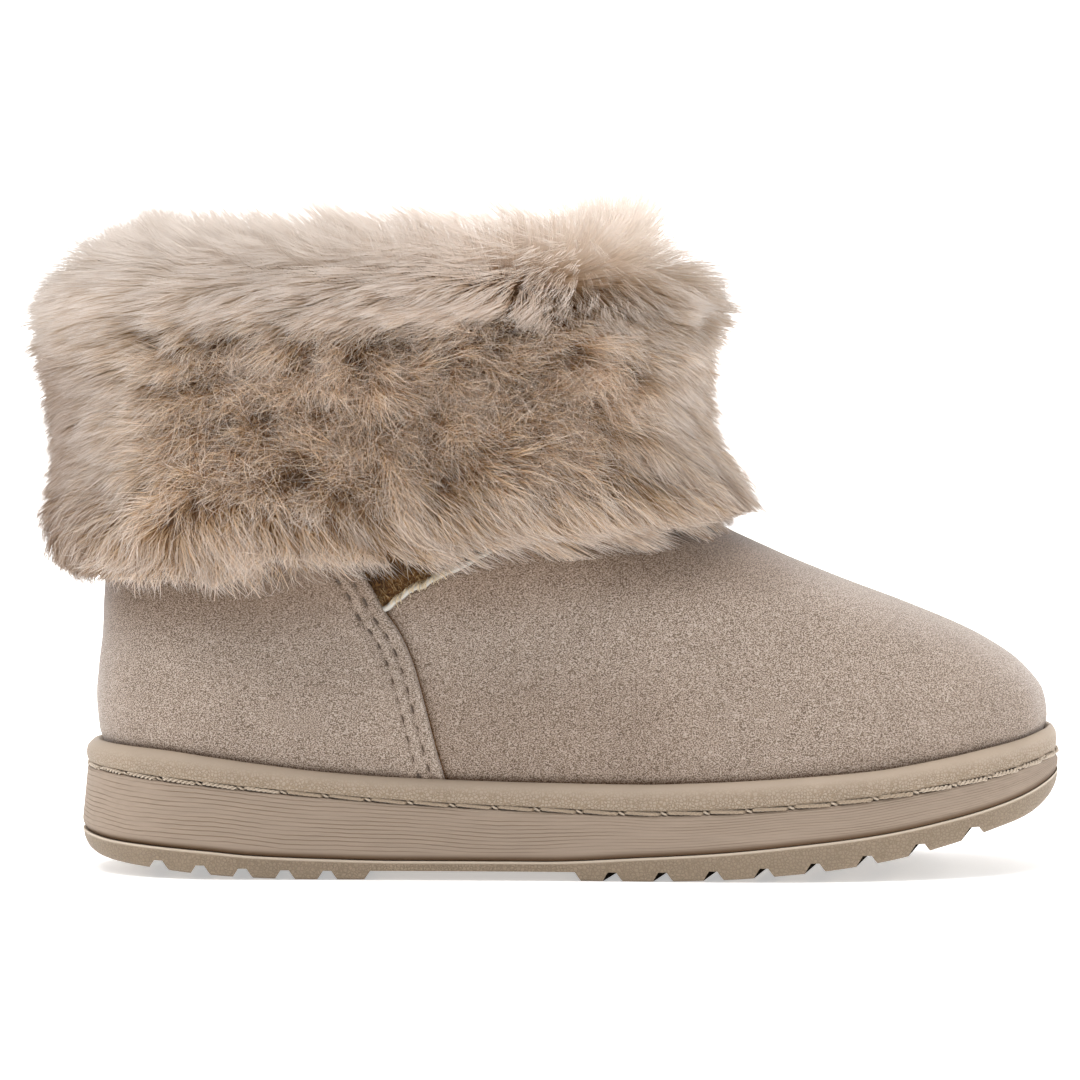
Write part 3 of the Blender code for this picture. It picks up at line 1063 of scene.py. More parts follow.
        piece = Sheet("outsole_rubber", 200, len(self.section) - 1).lay(self.form, place)
        cutter = self.cutter()
        cut = piece.modifiers.new("tread", "BOOLEAN")
        cut.operation = "DIFFERENCE"
        cut.solver = "EXACT"
        cut.object = cutter
        done = baked(piece)
        piece.modifiers.clear()
        piece.data = done
        bpy.data.objects.remove(cutter)
        done.shade_smooth()
        done.set_sharp_from_angle(angle=math.radians(35))
        rounding = piece.modifiers.new("lug edges", "BEVEL")
        rounding.width = self.edge_round * MM
        rounding.segments = 3
        rounding.limit_method = "ANGLE"
        rounding.angle_limit = math.radians(38)
        rounding.harden_normals = False
        self.mark(done)
        finish = MouldedRubber("moulded_rubber_tread", "#8e7e6b", "#7f6f5c", pebble=0.66, relief=0.09)
        self.fit(piece, finish.material(), Slot.TREAD, "outsole")

    def mark(self, data: Mesh) -> None:
        """Marks the pebbled face, the lip's painted highlight and the painted shade on the grooves' walls.

        Args:
            data: the outsole's mesh.
        """
        points = vectors(data.vertices, "co") / MM - np.array([self.form.heel_x / MM, 0.0, 0.0])
        share = np.clip(points[:, 0] / self.form.length, 0, 1)
        below = SIDE["joint"](share) - points[:, 2]
        set_attribute(data, "pebbled", smooth(below, 0.35, 0.7))
        # A painted highlight along the top of the lip
        set_attribute(data, "rubbed", 0.75 * smooth(below, 0.55, 0.2))
        # Painted shade on the grooves' walls, full on the walls that face the toe and half on the others
        facing = vectors(data.polygons, "normal").astype(float)[:, 0]
        centres = vectors(data.polygons, "center").astype(float)
        station = (centres[:, 0] - self.form.heel_x) / MM
        share = np.clip(station / self.form.length, 0, 1)
        off_line = centres[:, 1] / MM - PLAN["centre"](share)
        inside = self.form.width(np.arccos(1 - 2 * share) * -np.sign(off_line), 0.0) - np.abs(off_line)
        shaded = smooth(np.abs(facing), 0.4, 0.6) * smooth(inside, 1.2, 2.2) * np.where(facing > 0, 1.0, 0.5)
        shaded *= np.abs(station - self.treaded[0]) < self.treaded[1]
        data.attributes.new("shaded", "FLOAT", "FACE").data.foreach_set("value", shaded.astype(np.float32))


@dataclass
class Midsole(SubAssembly):
    """The thick side wall, engraved with wavy lines, hollowed at its foot and at the stitched seam."""

    lines: float = 14.2
    # The section from the foot's middle to the top's middle: reach across, inset, rise and height
    section: Section = (
        (0.0, 3.4, 0.0, 0.1), (1.0, 3.4, 0.0, 0.1), (1.0, 0.95, 0.0, 0.1), (1.0, 0.86, 0.0, 0.3),
        (1.0, 0.7, 0.0, 0.52), (1.0, 0.5, 0.0, 0.76), (1.0, 0.34, 0.0, 1.02), (1.0, 0.23, 0.0, 1.35),
        (1.0, 0.18, 0.0, 1.9),
    )
    top: Section = (
        (1.0, 1.15, 1.0, -0.85), (1.0, 1.28, 1.0, -0.66), (1.0, 1.5, 1.0, -0.52), (1.0, 1.85, 1.0, -0.42),
        (1.0, 3.2, 1.0, -0.36), (0.0, 3.2, 1.0, -0.36),
    )
    face_rows: int = 36
    hollow_top: float = 1.6

    def table(self) -> Array:
        """Lays the face's rows between the section's foot and its top.

        Returns:
            The whole section.
        """
        foot, head = self.section[-1], self.top[0]
        share = np.linspace(0, 1, self.face_rows + 2)[1:-1, None]
        face = mix(np.array(foot), np.array(head), share)
        return np.concatenate([self.section, face, self.top])

    def engraving(self, points: Array, rise: Array) -> tuple[Array, Array]:
        """The wavy lines of the wall.

        Args:
            points: on the wall, in millimetres.
            rise: from the wall's foot to its top.

        Returns:
            How many lines up the wall each point is, as an angle, and how deep the lines are there, 0 to 1.
        """
        level = np.stack([points[:, 0] * 0.07, points[:, 1] * 0.07, rise * 2.6], -1)
        drift = 0.34 * ripple(level, 3.0, 3) + 0.13 * ripple(level * [3.0, 3.0, 1.4], 3.0, 4)
        drift += 0.035 * ripple(level * [11.0, 11.0, 2.0], 3.0, 6)
        fade = np.clip(0.78 + 0.42 * ripple(level * [2.2, 2.2, 4.4], 3.0, 5), 0.15, 1)
        fade = fade * smooth(rise, 0.1, 0.18) * smooth(rise, 1.0, 0.95)
        return TURN * (rise * self.lines + drift), fade

    def build(self) -> None:
        """Builds and dresses the midsole."""
        table = self.table()

        def wall(across: Array, up: Array) -> tuple[Array, Array, Array, Array]:
            """Returns the wall's points, its lines' phase and depth, and the painted shade at its foot."""
            angle, reach, inset, rise, above = self.read_section(table, across, up)
            station, y = self.form.sole(angle, inset, WALL_TAPER)
            low, high = self.form.side_height("joint", station), self.form.side_height("seam", station)
            z = mix(low, high, rise) + above
            points = np.stack([station, mix(PLAN["centre"](self.form.share(angle)), y, reach), z], -1)
            phase, depth = self.engraving(points, (z - low) / (high - low))
            return points, phase, depth, smooth(z - low, self.hollow_top, 0.35)

        def result(number: int) -> Place:
            """Returns the function that gives one of the wall's four results."""
            return lambda across, up: wall(across, up)[number]

        marks = {"line_phase": result(1), "line_depth": result(2), "hollow": result(3)}
        piece = Sheet("midsole_foam", 420, len(table) - 1).lay(self.form, result(0), marks)
        self.fit(piece, GrainedFoam().material(), Slot.SIDE_WALL, "midsole")


@dataclass
class Welt(SubAssembly):
    """The rounded rim that the upper sits in, and the thread that sews it down."""

    pitch: float = 8.05
    stitch: float = 7.0
    thread: float = 0.33
    twist: float = 1.9
    # Shares of the length outside which the stitches take the paler copy of the thread, a painted highlight
    bright_ends: tuple[float, float] = (0.2, 0.84)
    # The section from its back under the upper, out below, round the face and in over the top to the upper:
    # share of the way from the outline to the upper, inset, height, and how pebbled the surface is there
    section: Section = (
        (0.5, 2.2, 0.36, 0.0), (0.0, 2.2, 0.36, 0.0), (0.0, 1.7, 0.39, 0.3), (0.0, 1.36, 0.56, 0.8),
        (0.0, 1.15, 0.9, 1.0), (0.0, 1.02, 1.4, 1.0), (0.0, 0.95, 1.9, 1.0), (0.0, 0.95, 2.5, 0.9),
        (0.0, 1.02, 3.1, 0.6), (0.0, 1.2, 3.65, 0.3), (0.06, 1.45, 4.15, 0.1), (0.2, 1.6, 4.6, 0.0),
        (0.4, 1.7, 4.95, 0.0), (0.62, 1.8, 5.12, 0.0), (0.82, 1.9, 5.1, 0.0), (1.0, 2.0, 4.85, 0.0),
        (1.25, 2.0, 4.2, 0.0),
    )
    tall: float = 5.2

    def build(self) -> None:
        """Builds and dresses the rim and its stitches."""

        def place(across: Array, up: Array) -> Array:
            """Returns the rim's points."""
            angle, inward, inset, height, _ = self.read_section(self.section, across, up)
            station, y = self.form.sole(angle, inset, WALL_TAPER)
            seam, top = self.form.side_height("seam", station), self.form.side_height("welt_top", station)
            z = seam + height * (top - seam) / self.tall
            upper = self.form.on_last(angle, z, 0.1)
            return np.stack([mix(station, upper[:, 0], inward), mix(y, upper[:, 1], inward), z], -1)

        def pebbled(across: Array, up: Array) -> Array:
            """Returns how pebbled the rim is."""
            return self.read_section(self.section, across, up)[-1]

        piece = Sheet("welt_rim", 420, len(self.section) - 1).lay(self.form, place, {"pebbled": pebbled})
        rubber = MouldedRubber("pebbled_rubber_rim", "#a69685", "#8d7b66", pebble=0.62, relief=0.12)
        self.fit(piece, rubber.material(), Slot.RIM, "welt")
        self.build_stitches()

    def build_stitches(self) -> None:
        """Lays a two-ply thread in the seam, a stitch at a time, with a short nub where it goes through."""
        angles = np.linspace(-math.pi, math.pi, 3001)
        station, y = self.form.sole(angles, 1.95, WALL_TAPER)
        seam = self.form.side_height("seam", station) + 0.03
        line = np.stack([station, y, seam], -1)
        run = np.concatenate([[0], np.cumsum(np.linalg.norm(np.diff(line, axis=0), axis=1))])
        along = unit(np.gradient(line, axis=0))
        outward = unit(np.stack([along[:, 1], -along[:, 0], np.zeros(len(along))], -1))
        count = round(run[-1] / self.pitch)
        pitch = run[-1] / count
        plain, bright = [], []

        def read(at: Array, values: Array) -> Array:
            """Returns values at distances round the seam."""
            return read_line(at % run[-1], run, values)

        for number in range(count):
            t = np.linspace(0, 1, 25)
            at = number * pitch + t * self.stitch
            centre, out, way = read(at, line), read(at, outward), read(at, along)
            up = np.cross(out, way)
            share = self.form.share(np.interp(at % run[-1], run, angles))
            twisted = np.clip((np.abs(share * 2 - 1) - 0.45) / 0.4, 0, 1)
            dive = np.clip(np.abs(2 * t - 1) - 0.8, 0, 1) / 0.2
            bow = mix(0.36, 0.46, twisted) - 1.25 * dive**2
            tilt = (0.5 - t)[:, None] * 0.3 * up
            shows = share[12] < self.bright_ends[0] or share[12] > self.bright_ends[1]
            for ply in (0.0, math.pi):
                turn = TURN * t * self.stitch / self.twist + ply + number
                swirl = out * np.cos(turn)[:, None] + up * np.sin(turn)[:, None]
                reach = self.thread * mix(0.25, 0.8, twisted)
                path = centre + out * bow[:, None] + swirl * reach[:, None] + tilt
                (bright if shows else plain).append(path)
            at = number * pitch - (pitch - self.stitch) / 2 + np.linspace(-0.55, 0.55, 6)
            centre, out = read(at, line), read(at, outward)
            rise = np.linspace(0.22, -0.3, 6)[:, None] * np.array([0, 0, 1])
            arch = np.sin(np.linspace(0, math.pi, 6))[:, None] * 0.55
            bright.append(centre + out * (arch - 0.12) + rise)
        # The knots and the stitches at heel and toe take a paler copy of the same thread: a painted highlight
        for name, paths, finish in (
            ("welt_stitches", plain, SpunThread("bonded_sole_thread", "#a89680", "#8d7b67")),
            ("welt_stitch_knots", bright, SpunThread("bonded_sole_thread_painted_light", "#c6b7a4", "#a08f7c")),
        ):
            radius = self.thread if paths is plain else 0.75 * self.thread
            self.fit(threads(name, self.form, paths, radius), finish.material(), Slot.RIM)


# ---------------- the upper

# The quarter's front edge, as stations by height; it lies over the vamp
SEAM = curves("height station", (
    (12.0, 72.6), (19.7, 70.7), (25.1, 69.1), (31.0, 67.6), (36.0, 66.3), (40.9, 64.9), (46.9, 62.3),
    (51.5, 59.2), (56.4, 56.5), (62.0, 52.5), (70.0, 47.0), (80.0, 42.0), (95.0, 38.5), (114.0, 37.0),
))["station"]
# The vamp's cut top edge, as heights by station
VAMP_TOP = curves("station height", (
    (46.0, 42.5), (53.0, 46.6), (59.4, 51.3), (62.3, 53.6), (64.5, 55.1), (67.0, 56.2), (69.1, 57.6),
    (71.8, 58.7), (80.0, 63.0), (92.0, 70.0), (112.0, 80.0),
))["height"]


@dataclass
class Upper(SubAssembly):
    """Two suede panels over a lining: the quarter wraps the heel and laps over the vamp in a sewn seam."""

    panel: float = 0.85
    foot: float = 0.35
    lap: float = 6.6
    lap_end: float = 9.6
    rows_behind: tuple[float, float] = (2.4, 4.7)
    stitch: float = 3.85
    fine_top: float = 64.0
    vamp_foot: float = 14.0

    def seam_slope(self, height: Array) -> Array:
        """Returns how fast the seam's station changes with height."""
        return SEAM(height + 0.5) - SEAM(height - 0.5)

    def seam_run(self, height: Array) -> Array:
        """Returns the length of the seam from its foot up to a height."""
        levels = np.linspace(10, UPPER_TOP, 500)
        length = np.concatenate([[0], np.cumsum(np.hypot(np.diff(levels), np.diff(SEAM(levels))))])
        return np.interp(height, levels, length)

    def foot_height(self, angle: Array) -> Array:
        """Returns the height of the upper's foot, inside the welt."""
        return SIDE["seam"](self.form.share(angle)) + self.foot

    def behind(self, angle: Array, height: Array) -> tuple[Array, Array]:
        """Where a point of the quarter lies from its front edge.

        Args:
            angle: round the boot.
            height: above the ground.

        Returns:
            How far it is behind the edge, and how far up along it.
        """
        station, _ = self.form.last(angle, height)
        slope = self.seam_slope(height)
        stretch = np.hypot(1, slope)
        gap = SEAM(height) - station
        return gap / stretch, self.seam_run(height) - gap * slope / stretch

    def needle_dents(self, behind: Array, run: Array, side: Array) -> Array:
        """How deep the needle pressed the seam in.

        Args:
            behind: how far each point is behind the quarter's edge.
            run: how far it is up along it.
            side: -1 on the outer side and 1 on the inner.

        Returns:
            The depths, 0 to 1.
        """
        dents = np.zeros_like(behind)
        for number, row in enumerate(self.rows_behind):
            turn = run / self.stitch + 0.37 * number + 0.2 * side
            off = (turn - np.round(turn)) * self.stitch
            uneven = 1 + 0.3 * np.sin(np.round(turn) * 2.3 + number)
            dents += 1.25 * uneven * np.exp(-((off / 0.9) ** 2) - ((behind - row) / 0.27) ** 2)
        return np.clip(dents, 0, 1)

    def quarter_relief(self, angle: Array, height: Array) -> Array:
        """How far the quarter stands off the last.

        Args:
            angle: round the boot.
            height: above the ground.

        Returns:
            The distances.
        """
        behind, run = self.behind(angle, height)
        side = self.form.side(angle)
        relief = self.panel * smooth(behind, self.lap_end, self.lap)
        for row in self.rows_behind:
            relief -= 0.2 * bell(behind - row, 0.42)
        relief -= 0.34 * self.needle_dents(behind, run, side)
        relief += 0.14 * bell(behind - 3.5, 0.5) + 0.14 * bell(behind - 1.1, 0.6)
        relief -= 0.25 * bell(np.clip(behind, 0, None), 0.4)
        return relief + self.slack(angle, height) - 0.5 * self.tucked(angle, height, 1.2)

    def tucked(self, angle: Array, height: Array, reach: float) -> Array:
        """Returns 1 where the suede goes down behind the welt, fading over a reach above it."""
        station, _ = self.form.last(angle, height)
        line = SIDE["welt_top"](station / self.form.length) - 0.3
        return bell(np.clip(height - line, 0, None), reach)

    def shade(self, angle: Array, height: Array) -> Array:
        """How much painted shade darkens the nap: the fur's shadow below its hem, and the shade in the crease
        at the welt.
        """
        hem = HEM(self.form.share(angle))
        return 0.44 * smooth(height, hem - 19.0, hem - 7.0) + 0.55 * self.tucked(angle, height, 0.75)

    def slack(self, angle: Array, height: Array) -> Array:
        """Returns the soft unevenness of cloth over a lining, which fades out down at the welt."""
        points = self.form.on_last(angle, height, 0.0)
        soft = 0.16 * ripple(points, 34.0, 11) + 0.07 * ripple(points, 13.0, 12)
        return soft * smooth(height, 22.0, 30.0)

    def build_quarter(self, suede: Material) -> None:
        """Builds the back panel, finest along its front edge.

        Args:
            suede: what it is made of.
        """
        fine_rows, coarse_rows = 104, 12

        def where(across: Array, up: Array) -> tuple[Array, Array]:
            """Returns the panel's angles and heights."""
            turn = across * 2 - 1
            share = np.interp(np.abs(turn), [0, 0.46, 0.56, 1], [0, 0.83, 0.922, 1])
            split = fine_rows / (fine_rows + coarse_rows)
            low = self.foot_height(np.zeros(1))[0] - 6.0
            height = np.where(
                up < split,
                mix(low, self.fine_top, up / split),
                mix(self.fine_top, UPPER_TOP - 0.6, (up - split) / (1 - split)),
            )
            edge = self.form.angle_at(SEAM(height), height)
            angle = np.sign(turn) * share * edge
            return angle, np.maximum(height, self.foot_height(angle))

        def place(across: Array, up: Array) -> Array:
            """Returns the panel's points, with its front edge turned in."""
            angle, height = where(across, up)
            turned_in = (np.abs(across * 2 - 1) > 0.9999) * (self.panel + 0.1)
            return self.form.on_last(angle, height, self.quarter_relief(angle, height) - turned_in)

        def dent(across: Array, up: Array) -> Array:
            """Returns how much the nap is darkened by needle marks and painted shade, less painted highlights
            on the raised edge and between the rows.
            """
            angle, height = where(across, up)
            behind, run = self.behind(angle, height)
            # Painted highlights: on the quarter's raised front edge and on the puffed strip between the two
            # stitch rows
            pale = 0.2 * bell(behind - 0.6, 0.55) + 0.12 * bell(behind - 3.5, 0.6)
            dents = 0.4 * self.needle_dents(behind, run, self.form.side(angle)) + self.shade(angle, height)
            return np.clip(dents, 0, 0.88) - pale

        piece = Sheet("quarter", 176, fine_rows + coarse_rows).lay(self.form, place, {"dent": dent})
        self.fit(piece, suede, Slot.SUEDE, "upper")

    def vamp_top(self, share: Array) -> Array:
        """Finds the height of the vamp's cut edge.

        Args:
            share: from its back edge to the middle line.

        Returns:
            The heights.
        """
        height = np.full_like(share, 60.0)
        for _ in range(24):
            angle = self.vamp_angle(share, height)
            station, _ = self.form.last(angle, height)
            height = mix(height, VAMP_TOP(station), 0.5)
        return height

    def vamp_angle(self, share: Array, height: Array) -> Array:
        """Returns the angle of a vamp column at a height, which starts under the quarter's lap."""
        back = self.form.angle_at(SEAM(height) - self.lap + 0.2, height)
        return mix(back, math.pi, share)

    def build_vamp(self, suede: Material) -> None:
        """Builds the front panel, up to its cut edge.

        Args:
            suede: what it is made of.
        """

        def where(across: Array, up: Array) -> tuple[Array, Array]:
            """Returns the panel's angles and heights."""
            turn = across * 2 - 1
            share = np.interp(1 - np.abs(turn), [0, 0.04, 0.16, 0.4, 1], [0, 0.037, 0.062, 0.26, 1])
            top = self.vamp_top(share)
            height = mix(self.vamp_foot, top, up)
            angle = self.vamp_angle(share, height)
            height = np.maximum(height, np.minimum(self.foot_height(angle), top))
            return np.where(turn < 0, 1, -1) * self.vamp_angle(share, height), height

        def ahead(angle: Array, height: Array) -> Array:
            """Returns how far a point lies in front of the seam."""
            return np.clip(-self.behind(np.abs(angle), height)[0], 0, None)

        def place(across: Array, up: Array) -> Array:
            """Returns the panel's points, pressed in at the seam, the welt and its cut edge."""
            angle, height = where(across, up)
            pressed = 0.45 * bell(ahead(angle, height), 1.1) + (up > 0.9999) * self.panel
            pressed += 0.5 * self.tucked(angle, height, 1.2)
            return self.form.on_last(angle, height, self.slack(angle, height) - pressed)

        def dent(across: Array, up: Array) -> Array:
            """Returns how much the nap is darkened: painted shadow along the quarter's edge, painted shade
            under the fur and at the welt, darker low on the side, and paler towards the toe as painted light.
            """
            angle, height = where(across, up)
            line = ahead(angle, height)
            # Painted shadow that the quarter's raised edge casts on the vamp
            pressed = 0.6 * bell(line, 0.4) + 0.2 * bell(line, 1.6)
            station, _ = self.form.last(angle, height)
            # Darker low on the side, and paler towards the toe as painted light
            pressed += 0.16 * smooth(height, 44.0, 32.0) * smooth(station, 132.0, 108.0)
            pressed -= 0.12 * smooth(station, 132.0, 160.0)
            return np.clip(pressed + self.shade(angle, height), 0, 0.88)

        piece = Sheet("vamp", 240, 72).lay(self.form, place, {"dent": dent})
        self.fit(piece, suede, Slot.SUEDE)

    def build_edge(self) -> None:
        """Builds the vamp's raw edge, which shows the cloth's white core, and stray fibres across it."""
        rng = np.random.default_rng(5)
        paths, strays = [], []
        for side in (1, -1):
            share = np.linspace(0.037, 0.55, 200)
            top = self.vamp_top(share)
            angle = side * self.vamp_angle(share, top)
            wobble = 0.16 * ripple(np.stack([share * 120, share * 0], -1), 3.4, 21)
            path = self.form.on_last(angle, top, -0.38 + wobble * 0.5, 0.24 + wobble)
            paths.append(path)
            for start in rng.uniform(0.05, 0.3, 80) * len(path):
                t = np.linspace(0, 1, 5)[:, None]
                lean = np.array([rng.uniform(-0.9, 0.9), side * -0.45, -1.1]) * rng.uniform(0.7, 1.5)
                hop = np.sin(t * math.pi) * np.array([0, -0.55 * side, 0.1])
                strays.append(path[int(start)] + np.array([0, -0.35 * side, 0.95]) + t * lean * 1.2 + hop)
        edge = threads("vamp_cut_edge", self.form, paths, 0.58, 2)
        self.fit(edge, SpunThread("bonded_white_core", "#d9d6cf", "#aea79c").material(), Slot.SUEDE)
        loose = threads("vamp_stray_fibres", self.form, strays, 0.08)
        self.fit(loose, SpunThread("stray_core_fibre", "#dccfb4", "#c2a880").material(), Slot.SUEDE)

    def build_seam_stitches(self) -> None:
        """Lays the short stitches of both rows, sunk and dark in the nap, on both sides of the boot."""
        paths = []
        levels = np.linspace(14, 78, 900)
        for side in (1, -1):
            for number, row in enumerate(self.rows_behind):
                slope = self.seam_slope(levels)
                station = SEAM(levels) - row * np.hypot(1, slope)
                angle = side * self.form.angle_at(station, levels)
                _, run = self.behind(angle, levels)
                line = self.form.on_last(angle, levels, self.panel - 0.5)
                turn = run / self.stitch + 0.37 * number + 0.2 * self.form.side(angle)
                for stitch in range(math.ceil(turn[0]), math.floor(turn[-1]) - 1):
                    reach = 0.17 + 0.04 * math.sin(stitch * 2.3 + number)
                    at = stitch + np.linspace(-reach, reach, 5)
                    paths.append(read_line(at, turn, line))
        piece = threads("seam_stitches", self.form, paths, 0.2)
        self.fit(piece, SpunThread("seam_thread_in_shade", "#5b4734", "#3f2f23").material(), Slot.SUEDE)

    def build_lining(self) -> None:
        """Builds the bootee of pile fabric inside the panels, and the fleece that faces the foot."""

        def shell(low: float, high: float, out: float, bumps: float) -> Place:
            """Returns the function that lays a shell between two heights, this far off the upper."""

            def place(across: Array, up: Array) -> Array:
                """Returns the shell's points."""
                angle = full_turn(across)
                height = mix(self.foot_height(angle) + low, high, up)
                points = self.form.on_last(angle, height, 0.0)
                rough = bumps * (ripple(points, 3.1, 31) + 0.6 * ripple(points, 1.7, 32))
                return self.form.on_last(angle, height, out + rough)

            return place

        sock = Sheet("lining_back", 96, 40).lay(self.form, shell(0.1, UPPER_TOP - 1.0, -1.1, 0.0))
        self.fit(sock, KnitBacking("brushed_knit_back", "#49331f", "#86623d").material(), Slot.SUEDE)
        fleece = Sheet("lining_fleece", 140, 60).lay(self.form, shell(0.6, 96.0, -2.1, 0.22))
        fleece.data.flip_normals()
        finish = KnitBacking("sheared_fleece", "#a8937f", "#d9c9ba", loop=1.6)
        self.fit(fleece, finish.material(), Slot.FOOTBED)

    def build_lining_fuzz(self) -> None:
        """Raises short golden fibres on the lining where it shows between the two panels, on both sides."""
        rng = np.random.default_rng(8)
        count = 4600
        height = rng.uniform(49.0, 70.0, count)
        station = SEAM(height) - 2 + rng.uniform(0, 1, count) ** 1.1 * 26.0
        keep = height > VAMP_TOP(station) - 0.5
        height, station = height[keep], station[keep]
        side = np.where(rng.uniform(size=len(height)) < 0.5, 1, -1)
        angle = side * self.form.angle_at(station, height)
        root = self.form.on_last(angle, height, -1.1)
        out = self.form.on_last(angle, height, 1.0) - self.form.on_last(angle, height, 0.0)
        length = rng.uniform(1.3, 2.3, len(height))
        forward, upward = rng.normal(-0.25, 0.4, len(height)), rng.normal(0.55, 0.35, len(height))
        lean = np.stack([forward, np.zeros(len(height)), upward], -1)
        share = np.linspace(0, 1, 4)
        t = share[None, :, None]
        path = out[:, None] * (t * 0.75) + lean[:, None] * t**1.6 * 0.9
        fibres = Fibres(
            paths=root[:, None] + length[:, None, None] * path,
            outward=out,
            widths=rng.uniform(0.14, 0.24, len(height)),
            turns=rng.normal(0, 0.5, len(height)),
            # Painted shadow under the fur: the fibres darken the further they stand above the vamp's cut edge
            tones=rng.uniform(0.5, 1.0, len(height)) * smooth(height - VAMP_TOP(station), 6.5, 0.5),
            along=np.tile(share, (len(height), 1)),
        )
        finish = PileFibre("golden_lining_pile", "#553b24", "#957044", "#cdb083", "#573b22", glow=0.2)
        self.fit(fibres.joined("lining_fuzz", self.form), finish.material(), Slot.SUEDE)

    def build(self) -> None:
        """Builds and dresses every piece of the upper."""
        suede = NappedSuede().material()
        self.build_quarter(suede)
        self.build_vamp(suede)
        self.build_edge()
        self.build_seam_stitches()
        self.build_lining()
        self.build_lining_fuzz()


@dataclass
class Footbed(SubAssembly):
    """The fleece-faced foam footbed that lies on the midsole inside the upper."""

    thickness: float = 3.2
    wall: float = 2.6
    clearance: float = 2.9

    def build(self) -> None:
        """Builds and dresses the footbed."""
        form = self.form

        def place(across: Array, up: Array) -> Array:
            """Returns the footbed's points, domed towards its middle."""
            angle = across * math.pi
            share = form.share(angle)
            base = SIDE["seam"](share) + GAP
            outer = form.on_last(angle, base, -self.clearance)
            inner = form.on_last(-angle, base, -self.clearance)
            points = mix(outer, inner, up[:, None])
            dome = np.clip(1 - np.abs(2 * up - 1) ** 8, 0, 1) ** 0.5
            tuft = 0.3 * ripple(points, 3.6, 41) + 0.2 * ripple(points, 1.9, 42)
            points[:, 2] = base + self.thickness - 0.9 * (1 - dome) + tuft * dome
            return points

        piece = Sheet("footbed_fleece", 120, 36).lay(form, place)
        solid = piece.modifiers.new("wall", "SOLIDIFY")
        solid.thickness, solid.offset = self.wall * MM, -1.0
        finish = KnitBacking("footbed_fleece_pile", "#a8937f", "#dccdbf", loop=1.5)
        self.fit(piece, finish.material(), Slot.FOOTBED, "insole")


# ---------------- the fur cuff

# The cuff's backing, by millimetres along it from the hem, over the rim and down inside: the share of the way
# up from the hem to the rim, how far it stands off the upper, and how deep the fur is at heel and toe
CUFF = curves("along rise out heel_pile toe_pile", (
    (-8.0, -0.145, 0.3, 1.6, 1.6),
    (-4.0, -0.073, 0.6, 5.6, 4.4),
    (0.0, 0.000, 1.5, 8.6, 8.8),
    (4.0, 0.073, 2.6, 10.2, 13.0),
    (8.0, 0.146, 2.8, 10.8, 13.4),
    (16.0, 0.292, 2.8, 10.4, 14.0),
    (24.0, 0.438, 2.8, 11.6, 14.6),
    (32.0, 0.584, 2.8, 13.8, 16.6),
    (40.0, 0.730, 2.8, 16.2, 18.0),
    (47.0, 0.857, 2.8, 16.4, 18.6),
    (51.5, 0.935, 2.3, 13.6, 15.2),
    (56.0, 0.985, 0.6, 10.6, 11.2),
    (59.5, 1.000, -1.8, 8.8, 8.8),
    (63.0, 0.975, -4.1, 6.6, 6.6),
    (67.0, 0.905, -4.8, 4.6, 4.6),
    (86.0, 0.570, -4.8, 3.2, 3.2),
))
# The height of the backing's hem, from the heel to the toe
HEM = curves(
    "share height",
    [(0.0, 61.2), (0.16, 61.2), (0.34, 64.4), (0.46, 64.8), (0.59, 67.2), (0.86, 69.6), (1.0, 72.0)],
)["height"]
# How far the fur's top rises above its even line, along the boot
CREST = curves("station rise", (
    (-4.0, 1.0), (6.0, -1.2), (11.0, -0.6), (14.5, 2.0), (17.0, 2.5), (19.5, 0.9), (23.0, 0.9),
    (29.0, 2.4), (32.0, 1.6), (35.0, 2.4), (41.0, 1.2), (46.6, 0.4), (48.4, 3.6), (50.5, 3.4),
    (55.0, 2.9), (59.0, 2.1), (66.0, 3.3), (71.0, 2.8), (78.0, 1.7), (82.0, 2.2), (85.5, 4.8),
    (91.0, 2.8), (96.0, 4.4), (101.0, 6.4), (105.0, 4.6), (107.5, 5.2), (110.6, 5.1), (113.0, -3.2),
    (118.0, 0.5), (122.0, 2.5),
))["rise"]
# How far the tips of the long pile lean upwards, by millimetres along the cuff
FALL = (
    (0, 16, 24, 34, 42, 49, 53, 57, 62, 68),
    (-6, -5.2, -4.4, -3.6, -2.8, -2, -1, 0.6, 2, 3),
)
RIM_TOP = 117.2
RIM_START, RIM_END, INNER_END = 50.0, 65.0, 86.0


@dataclass(frozen=True)
class Stroke:
    """A place where the fur was brushed its own way.

    Attributes:
        station: where it is along the boot.
        height: where it is above the ground.
        radius: how far it reaches.
        across: how far the fibres lean towards the toe there.
        up: how far they lean upwards.
        lift: how much deeper or flatter the pile is, as a share.
        tone: how much paler or darker the fibres are painted: painted light on a raised tuft, painted shade
            in a parting.
    """

    station: float
    height: float
    radius: float
    across: float
    up: float
    lift: float = 0.0
    tone: float = 0.0


